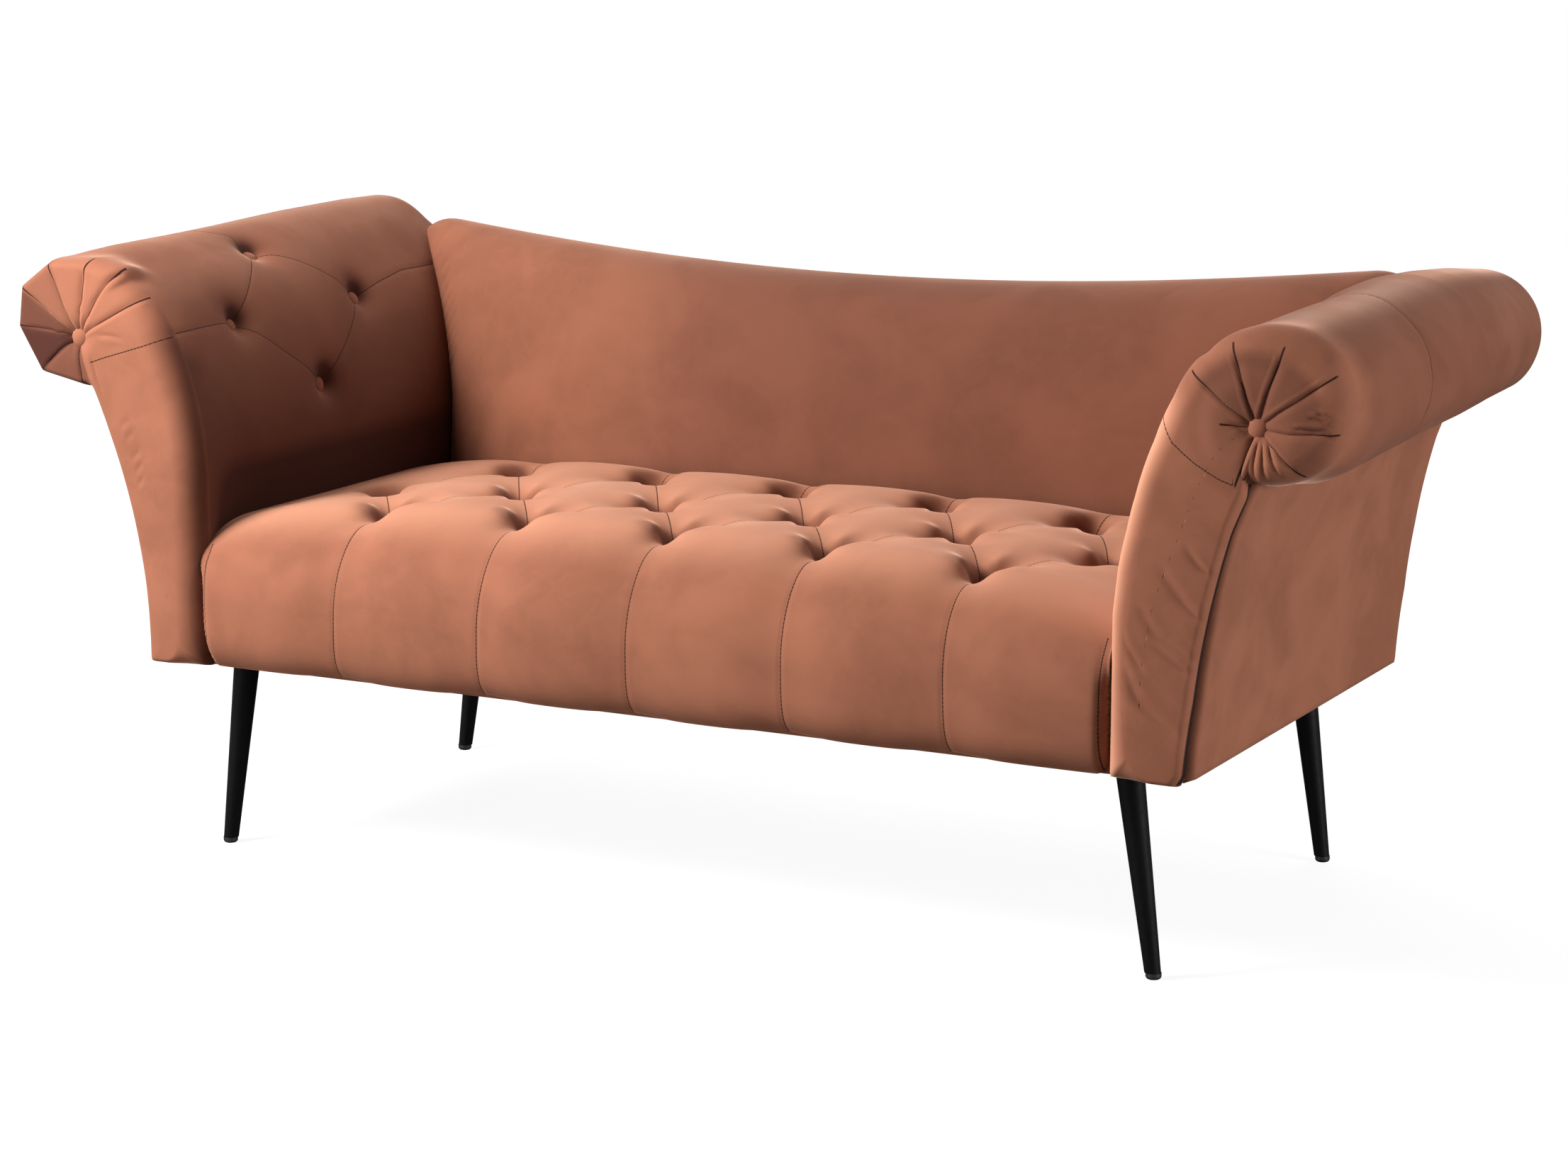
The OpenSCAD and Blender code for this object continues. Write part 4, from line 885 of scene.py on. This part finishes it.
def arm_cover(name, sign, quilting, creases, folds, seam, shape, swell, on_roll, shades,
              sheet_nap, edge_nap, bulge):
    """One arm's skin in right-hand coordinates; sign -1 mirrors it to the left."""
    n = len(OUTLINE)
    front, flat = face(on_roll, folds, creases, swell, bulge)
    first = int(np.argmax(OUTLINE[:, 1] >= 323))
    cols = np.arange(first, N_ROLL)
    m = len(cols)
    front = np.concatenate([tucked(front[0], first), front])
    body, faces, marks, spots = tufted_sheet(cols, quilting, sheet_nap, edge_nap)
    rear = rear_face()
    # the caps' first rings take the sheet's own edge points
    front[:4, cols] = body[:m]
    rear[cols] = body[-m:]
    rows = len(front)
    a, b = rows * n, rows * n + len(body)
    points = shape(np.concatenate([front.reshape(-1, 3), body, rear]))
    all_faces = np.concatenate([grid(rows, n, True), faces[:, ::-1] + a,
                                grid(len(rear) // n, n, True)[:, ::-1] + b])
    marks = widen(marks, a, len(rear))
    mark_face(marks, rows, flat, seam, creases, edge_nap)
    # the rosette's sectors darken, partly for the pile's direction and partly as painted shade
    marks["nap"] = marks["nap"] + shaded(points, shades)
    if sign < 0:
        points = points * [-1, 1, 1]
        all_faces = all_faces[:, ::-1]
        spots = [(p * [-1, 1, 1], d * [-1, 1, 1]) for p, d in spots]
    made = build(name, points, all_faces, VELVET, solid=2.0, **marks)
    return made, spots


# %% [markdown]
# ## Shape of the roll
# A roll is stuffed by hand and is nowhere a true circle. It is thicker at one end, and its
# front end is drawn by the pleats to a rim of its own: a polygon on the left arm, a rounder
# line on the right one. Both are scalings of the distance from the roll's axis, so the roll
# can be built round first and be shaped afterwards.

# %% Roll's shape
LOW_PROFILE = ([-336, -256, -96, 72, 128, 336], [3, 2.7, -1.4, -5.3, -6.6, -11])


def polar(places):
    """Angles and radii of places (x, z) about the roll's axis, in the order of the angles."""
    angle, r = about(places, ROLL)
    order = np.argsort(angle)
    return angle[order], r[order]


def roll_shape(profile, front, fade, soften=0):
    """Scales the roll about its axis by a profile along y, and its front end to a rim."""
    angle, radius = polar(spread(np.array(front, float), 0.7))
    if soften:
        even = np.arange(angle[0], angle[-1], 1.0)
        padded = np.pad(np.interp(even, angle, radius), soften, mode="edge")
        window = np.ones(2 * soften + 1) / (2 * soften + 1)
        angle, radius = even, np.convolve(padded, window, "valid")

    def shape(points):
        a, r = about(points[:, [0, 2]], ROLL)
        on = smooth((a + 113) / 25) * smooth((172 - a) / 40)
        own = np.interp(a, *polar(OUTLINE[N_IN - 60:N_ROLL]))
        inside = smooth((a - angle[0]) / 12) * smooth((angle[-1] - a) / 12)
        share = smooth(1 - (points[:, 1] - BOARD_Y) / fade) * inside
        under = smooth((-15 - a) / 45)
        grow = ((1 - under) * np.interp(points[:, 1], *profile)
                + under * np.interp(points[:, 1], *LOW_PROFILE)) / own
        cut = 11 * smooth((a - 100) / 60) * smooth((points[:, 1] - 220) / 110) / own
        grow = grow - cut
        pull = (1 - share) * on * grow + share * (np.interp(a, angle, radius) / own - 1)
        # under the roll only what is near it moves, so that the foot stays in its place
        pull = pull * np.where(a < -60, smooth((130 - r) / 40), 1)
        moved = points.copy()
        moved[:, [0, 2]] += (points[:, [0, 2]] - ROLL) * pull[:, None]
        return moved

    return shape


def narrowed(points):
    """Draws the inner front edge of the right arm's bend outward, by up to 15 mm."""
    x, y, z = points.T
    shift = np.interp(z, [400, 447, 484, 521, 557, 579, 601, 623, 669, 700],
                      [0, 5, 10.5, 13.5, 14.5, 15, 13, 11, 2, 0])
    moved = points.copy()
    moved[:, 0] += shift * smooth((690 - x) / 80) * smooth((-130 - y) / 120)
    return moved


print("the roll's own radius straight up:", np.interp(90, *polar(OUTLINE[N_IN:N_ROLL])).round(1))

# %% [markdown]
# ## Tufts, pleats and folds of the arms
# Each arm has four tufts, joined by seams that run on to the front face, to the rear and
# under the roll. The two rosettes were gathered by hand and differ, so each has lists of its
# own, in (x, z) of the right arm: pleats from the button to the rim, folds with a depth, a
# width and two fades, the seam that runs into the face, and the rim's outline.

# %% Lists of the arms
def arm_quilt():
    """Tufts and seams of an arm in (run along the section, y)."""
    places = [((612, 607), -176), ((671, 677), -53), ((614, 610), 80), ((577, 523), -46)]
    a, b, c, d = [np.array([outline_run(np.array(p)), y]) for p, y in places]
    under = outline_run(np.array([707, 547.5]))
    at = lambda x, z, y: (outline_run(np.array([x, z])), y)
    seams = [[a, b], [b, c], [c, d], [a, (0.5 * (a + d)[0], -120), d],
             [at(607, 606, BOARD_Y - 1), a],
             [c, at(620, 618, 125), at(624, 624, 183), at(624, 624, BODY_Y)],
             [b, at(684, 684, -58), at(700, 695, -58), at(716, 703, -76), at(780, 690, -101),
              (under, -118)]]
    return [a, b, c, d], seams


def pleats(tips, depth, width, raised):
    """Straight pleats from the hub to each tip."""
    return [([tuple(HUB), tip], depth, width, raised) for tip in tips]


right_creases = pleats([(647, 650), (691, 679), (743, 680), (794, 656)], 5, 13, 1.6)
right_creases += pleats([(763, 555), (698, 546)], 5, 13, 1.2)
right_creases += [([tuple(HUB), (752, 596), (801, 598)], 5, 12, 0.8)]
right_creases += pleats([(685, 604)], 3, 9, 0.4)
left_creases = pleats([(756, 688), (700, 691), (662, 683), (616, 657)], 5, 12, 0.9)
left_creases += pleats([(804, 610), (772, 558), (712, 545), (798, 658)], 4.5, 11, 0.5)
right_folds = [(p, 2.3, w, 0.4, 0.5) for p, w in (
    ([(572, 375), (590, 338), (616, 303), (648, 268)], 5),
    ([(578, 345), (600, 314), (636, 276)], 4),
    ([(590, 418), (618, 384), (655, 352)], 5), ([(608, 460), (638, 425), (670, 400)], 5),
    ([(634, 482), (654, 458), (679, 437)], 4.5), ([(571, 396), (588, 369), (612, 336)], 4),
    ([(622, 436), (644, 412), (670, 384)], 4), ([(604, 385), (630, 358), (658, 334)], 4))]
right_folds += [(p, 2.2, 2.4, 0.2, 0.25) for p in (
    [(719, 591), (717, 568), (716, 546)], [(723, 591), (726, 569), (728, 547)],
    [(727, 591), (736, 570), (744, 551)], [(758, 603), (781, 602), (799, 603)],
    [(773, 617), (789, 612), (801, 603)], [(783, 622), (796, 616), (804, 609)],
    [(791, 601), (798, 594), (794, 593)], [(715, 598), (708, 596), (691, 603)])]
left_folds = [(p, 1.1, 3.2, 0.3, 0.4) for p in (
    [(663, 502), (641, 513)], [(655, 489), (636, 499)], [(649, 465), (627, 480)],
    [(645, 450), (625, 465)], [(642, 436), (625, 447)], [(691, 607), (671, 607), (645, 604)],
    [(696, 564), (681, 538)], [(698, 585), (690, 553)])]
left_folds += [(p, 3.2, 3.2, 0.4, 0.15) for p in (
    [(679, 663), (662, 675), (644, 681)], [(675, 670), (658, 678), (643, 685)],
    [(641, 651), (627, 652), (612, 659)], [(640, 646), (626, 650), (612, 653)])]
right_seam = [(602, 604), (616, 581), (629, 572), (646, 563), (664, 556), (681, 549), (694, 545)]
left_seam = [(596, 608), (623, 598), (654, 588.6), (676, 582), (694, 576)]
left_rim = [(648, 662), (664, 682), (700, 691), (756, 688), (798, 658), (804, 610), (772, 558),
            (712, 546), (690, 551)]
right_rim = [(648, 658), (664, 680), (700, 696), (737, 701), (775, 692), (803, 662), (809, 626),
             (799, 588), (772, 557), (735, 544), (706, 544)]
print("right arm:", len(right_creases), "pleats,", len(right_folds), "folds")
print("left arm:", len(left_creases), "pleats,", len(left_folds), "folds")

# %% [markdown]
# ## Both arms
# The left arm is built in the right arm's coordinates and mirrored. Profiles say by how much
# the roll is thicker or thinner along y. Shades darken the rosette's sectors in the colour,
# partly for the pile's direction and partly as painted shade. They are darker on the left
# rosette, which faces away from the light. The sheet and the inner edge get painted shade too,
# and the right arm's inner edge a painted highlight. One large button with a deeper dome
# closes each rosette.

# %% Both arms
right_profile = ([-336, -300, -132, 0, 60, 132, 216, 324, 336],
                 [-3, -2, 2, 8, 9, 5.5, -1, -13, -17])
left_profile = ([-336, -264, -222, -126, -24, 120, 252, 324, 336],
                [-11.5, -9, -7, -5, -2, 3, 5, 4, -2])
right_shades = [(-184, -109, 0.25, 80), (-109, -46, 0.05, 80), (-46, -3, 0.3, 84),
                (-3, 145.6, 0.45, 84), (145.6, 184, 0.25, 80)]
left_shades = [(-109, -39, 0.6, 110), (-39, 5.2, 1.0, 110), (5.2, 33.4, 0.8, 110),
               (33.4, 67, 0.35, 110), (67, 98.5, 0.1, 110)]
right_shape = roll_shape(right_profile, right_rim, 55, soften=22)
left_shape = roll_shape(left_profile, left_rim, 50)
# The sheet and edge values paint light into the colour: positive values paint shade, negative
# ones paint a highlight.
arm_right, spots_right = arm_cover(
    "arm_cover_right", 1, arm_quilt(), right_creases, right_folds, right_seam,
    lambda p: narrowed(right_shape(p)), swell=3.0, on_roll=24, shades=right_shades,
    sheet_nap=(0.1, 0.1, 0.4), edge_nap=-1.3, bulge=0.8)
arm_left, spots_left = arm_cover(
    "arm_cover_left", -1, arm_quilt(), left_creases, left_folds, left_seam,
    left_shape, swell=0.0, on_roll=9, shades=left_shades,
    sheet_nap=(2.2, 0.7, 0.25), edge_nap=0.7, bulge=-0.4)
for side, cover, spots, sign in (("right", arm_right, spots_right, 1),
                                 ("left", arm_left, spots_left, -1)):
    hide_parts(f"arm_pad_{side}", f"arm_front_face_{side}", f"arm_rear_face_{side}")
    buttons(f"arm_button_caps_{side}", spots, 10.5, 6, -4, f"arm_buttons_{side}")
    scroll = [(np.array([sign * HUB[0], FRONT + 7, HUB[1]]), np.array([0.0, -1, 0]))]
    buttons(f"scroll_button_cap_{side}", scroll, 13.5, 10, 2, f"scroll_button_{side}")

# %% [markdown]
# ## Outside panels
# The outside of an arm is a board with thin padding, its velvet turned round every edge. It
# leans out from the foot as an arc and meets the cover under the roll. The edges are quarter
# circles in the formula, since a bevel would also round the seam with the cover. The left
# panel stands out less than the right one, as the photographed couch shows.

# %% Outside panels
PANEL_TOP = 546


def rounded(v, low, high, radius):
    """0 at both ends of a span, 1 inside, and a quarter circle between."""
    inside = np.minimum(v - low, high - v)
    return np.sqrt(np.maximum(0, 1 - np.clip(1 - inside / radius, 0, 1) ** 2))


def side_panel(name, sign, node):
    """A rounded slab from y -299 to 326, along side_x(z), on the right with lean(z) added."""
    z = np.linspace(UNDER, PANEL_TOP, 90)
    y = -299 + 625 * (0.5 - 0.5 * np.cos(np.linspace(0, np.pi, 200)))
    zz, yy = np.meshgrid(z, y, indexing="ij")
    full = rounded(zz, z[0] - 0.01, z[-1] + 6, 4) * rounded(yy, y[0] - 0.01, y[-1] + 0.01, 3.5)
    x = side_x(zz) - 7 + (8.5 + lean(zz) if sign > 0 else 5.5) * full
    zz = UNDER + (zz - UNDER) * (1 + 12 * (yy + 336) / 672 / (PANEL_TOP - UNDER))
    outer = np.stack([x, yy, zz], -1).reshape(-1, 3)
    faces = grid(90, 200)[:, ::-1]
    if sign < 0:
        outer, faces = outer * [-1, 1, 1], faces[:, ::-1]
    made = build(name, outer, faces, PLAIN_VELVET, solid=0)
    thick = made.modifiers.new("board", "SOLIDIFY")
    thick.thickness, thick.offset = 0.004, -1
    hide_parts(node)
    return made


side_panel("outside_panel_right", 1, "arm_side_panel_right")
side_panel("outside_panel_left", -1, "arm_side_panel_left")

# %% [markdown]
# ## Back
# The back's cover rises from behind the seat, leans back, rounds over the top edge and ends
# on the outside. Its top edge dips in the middle as 647 + 39 (x / 610)^2, and its ends are
# rounded down beside the rolls by an ellipse of 48 by 47 mm. It has no tufts; beside the left
# arm the velvet is drawn into small gathers, made as folds. A bent plane would need as many
# control points and would not keep to the arms' faces.

# %% Back cover
TURN_DOWN = 25  # how far the cover comes down behind the top edge


def corner_drop(x):
    """How far the ends of the top edge are rounded down: 47 (1 - sqrt(1 - t^2))."""
    return 47 * (1 - np.sqrt(1 - np.clip((np.abs(x) - 591.5) / 48, 0, 0.98) ** 2))


def back_top(x):
    """Height of the top edge."""
    return 647 + 39 * (x / 610) ** 2 - corner_drop(x)


def back_cover(folds):
    """Section: a superellipse quarter to the ridge, then a quarter ellipse to the rear."""
    u = np.sin(np.linspace(-math.pi / 2, math.pi / 2, 340))
    u = 0.5 * u + 0.5 * np.linspace(-1, 1, 340)
    low = PAD_Z + 0.3
    t = np.concatenate([np.linspace(0, 1, 150), np.linspace(1, 2, 14)[1:]])
    uu, tt = np.meshgrid(u, t, indexing="ij")
    top = back_top(uu * BACK_X)
    power = 2.4 - 0.4 * uu**4
    ridge = REAR - (48 - 34 * uu**4)
    end = seat_end(uu * HALF)
    a = np.clip(tt, 0, 1) ** 0.8 * math.pi / 2
    b = np.clip(tt - 1, 0, 1) * math.pi / 2
    y = np.where(tt <= 1, ridge - (ridge - end) * np.cos(a) ** (2 / power),
                 ridge + (REAR - 4 - ridge) * np.sin(b))
    z = np.where(tt <= 1, low + (top - low) * np.sin(a) ** (2 / power),
                 top - TURN_DOWN * (1 - np.cos(b)))
    x = uu * (arm_x(z + corner_drop(uu * BACK_X) * (z - low) / (top - low)) - 0.8)
    beside = np.clip(1 - (1 - np.abs(uu)) * 600 / 20, 0, 1)
    y = y + np.where(tt <= 1, 20 * (1 - np.sqrt(1 - beside**2)), 0)
    base = np.stack([x, y, z], -1).reshape(-1, 3)
    n, m = len(u), len(t)
    outer = grid(n, m)[:, ::-1]
    out = normals_of(base, outer)
    flat = np.stack([base[:, 0], base[:, 2]], 1)
    front = (tt <= 1).ravel()
    points = base - out * (folded(flat, folds) * np.where(front, 1, 0))[:, None]
    foam_y, top_in = REAR - BACK_D + 32, back_top(u * BACK_X) - TURN_DOWN
    hidden = [np.stack(np.broadcast_arrays(u * (arm_x(at) - 0.8), y, z), 1) for at, y, z in (
        (low, foam_y, low), (top_in, 300.0, top_in), (top_in, REAR - 4, top_in - 1))]
    everything = np.concatenate([points] + hidden)
    far = np.full(len(everything), 99.0)
    x = everything[:, 0]
    # Painted shade: the back's colour darkens from the left end toward the middle, where the
    # light falls off. It eases by half toward the right end.
    nap = 0.5 * smooth((x + 500) / 400) * (1 - 0.5 * smooth((x - 100) / 400))
    made = build("back_cover", everything, closed(outer, n, m, 3, 1), VELVET,
                 nap=nap, side=far, near=far, along=far)
    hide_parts("back_pad")


gathers = [([(3 - arm_x(z), z), (12 - arm_x(z), z + 20), (26 - arm_x(z), z + 44)],
            2.2, 3.4, 0.3, 0.6) for z in np.linspace(505, 640, 11)]
back_cover(gathers)


# %% [markdown]
# ## Outside back
# Behind the couch a flat panel with thin padding is set between the arms, under the turned
# top edge. A subdivided box would do; the same grid as before keeps to the arms' curve.

# %% Outside back
def back_outside():
    """The outside back: a thin padded panel between the arms, from the foot to the edge."""
    u, t = np.linspace(-1, 1, 200), np.linspace(0, 1, 90)
    uu, tt = np.meshgrid(u, t, indexing="ij")
    z = UNDER + (back_top(uu * BACK_X) - TURN_DOWN - UNDER) * tt
    x = uu * (arm_x(z) - 0.8)
    inset = np.minimum(np.minimum(tt, 1 - tt) * 300, (1 - np.abs(uu)) * 560)
    y = REAR - 8 + 6 * np.sqrt(1 - np.clip(1 - inset / 6, 0, 1) ** 2)
    outer = np.stack([x, y, z], -1).reshape(-1, 3)
    made = build("outside_back", outer, grid(200, 90), PLAIN_VELVET, solid=4.0)
    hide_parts("back_panel")


back_outside()

# %% [markdown]
# ## Light
# A soft key light from the front left, as a large window would give. Area lamps give its
# broad shadows; a picture of a room could light the couch too, but would need a file. The
# world is white to the eye and in reflections, but adds little light.

# %% Lamps and world
def area(name, place, size, power, target=(0, 0, 0.4), colour=(1, 1, 1)):
    """A square lamp at a place, turned to the target."""
    lamp = bpy.data.lights.new(name, "AREA")
    lamp.energy, lamp.size, lamp.color = power, size, colour
    obj = bpy.data.objects.new(name, lamp)
    bpy.context.scene.collection.objects.link(obj)
    obj.location = place
    obj.rotation_euler = (Vector(target) - Vector(place)).to_track_quat("-Z", "Y").to_euler()


area("key", (-1.3, -1.5, 1.75), 0.8, 90, colour=(1, 0.985, 0.965))
area("front", (-2.2, -3.6, 0.9), 1.4, 80)
area("side", (-4.5, -0.6, 1.6), 2.0, 50)
area("top", (0.0, 1.5, 2.5), 1.6, 32)
area("fill", (4.2, -0.1, 0.8), 1.2, 130)

world = bpy.data.worlds.new("studio")
bpy.context.scene.world = world
world.use_nodes = True
t = world.node_tree
path = t.nodes.new("ShaderNodeLightPath")
seen = t.nodes.new("ShaderNodeMath")
seen.operation = "MAXIMUM"
t.links.new(path.outputs["Is Camera Ray"], seen.inputs[0])
t.links.new(path.outputs["Is Glossy Ray"], seen.inputs[1])
back = t.nodes["Background"]
strength = t.nodes.new("ShaderNodeMapRange")
t.links.new(seen.outputs[0], strength.inputs["Value"])
strength.inputs["To Min"].default_value = 0.03
strength.inputs["To Max"].default_value = 1.0
t.links.new(strength.outputs["Result"], back.inputs["Strength"])
back.inputs["Color"].default_value = (1, 1, 1, 1)
print("lamps", [lamp.name for lamp in bpy.data.lights])

# %% [markdown]
# ## Floor and camera
# The floor is a plain sheet that glows to the eye, so that it fades into the white world and
# still takes the couch's shadow. The camera stands where the photograph was taken from.

# %% Floor and camera
floor_mesh = bpy.data.meshes.new("floor")
corners = [(-30, -30, 0), (30, -30, 0), (30, 30, 0), (-30, 30, 0)]
floor_mesh.from_pydata(corners, [], [(0, 1, 2, 3)])
floor = bpy.data.objects.new("floor", floor_mesh)
bpy.context.scene.collection.objects.link(floor)
s = Shader("pale floor")
s.set(Base_Color=(0.18, 0.18, 0.18, 1), Roughness=0.9, Specular_IOR_Level=0.0)
place = s.node("ShaderNodeTexCoord").outputs["Object"]
far = s.node("ShaderNodeVectorMath", {0: place}, operation="LENGTH").outputs["Value"]
eye = s.node("ShaderNodeLightPath").outputs["Is Camera Ray"]
glow = s.math("MULTIPLY", eye, s.ramp(far, 1.0, 3.0, 0.9, 1.0))
s.set(Emission_Color=(1, 1, 1, 1), Emission_Strength=glow)
floor_mesh.materials.append(s.material)

camera = bpy.data.cameras.new("camera")
camera.lens, camera.sensor_width = 87.8, 36
view = bpy.data.objects.new("camera", camera)
view.location = (2.01853, -3.81925, 1.18804)
view.rotation_euler = (math.radians(78.586), 0, math.radians(27.614))
bpy.context.scene.collection.objects.link(view)
bpy.context.scene.camera = view
bpy.context.scene.view_settings.view_transform = "Standard"
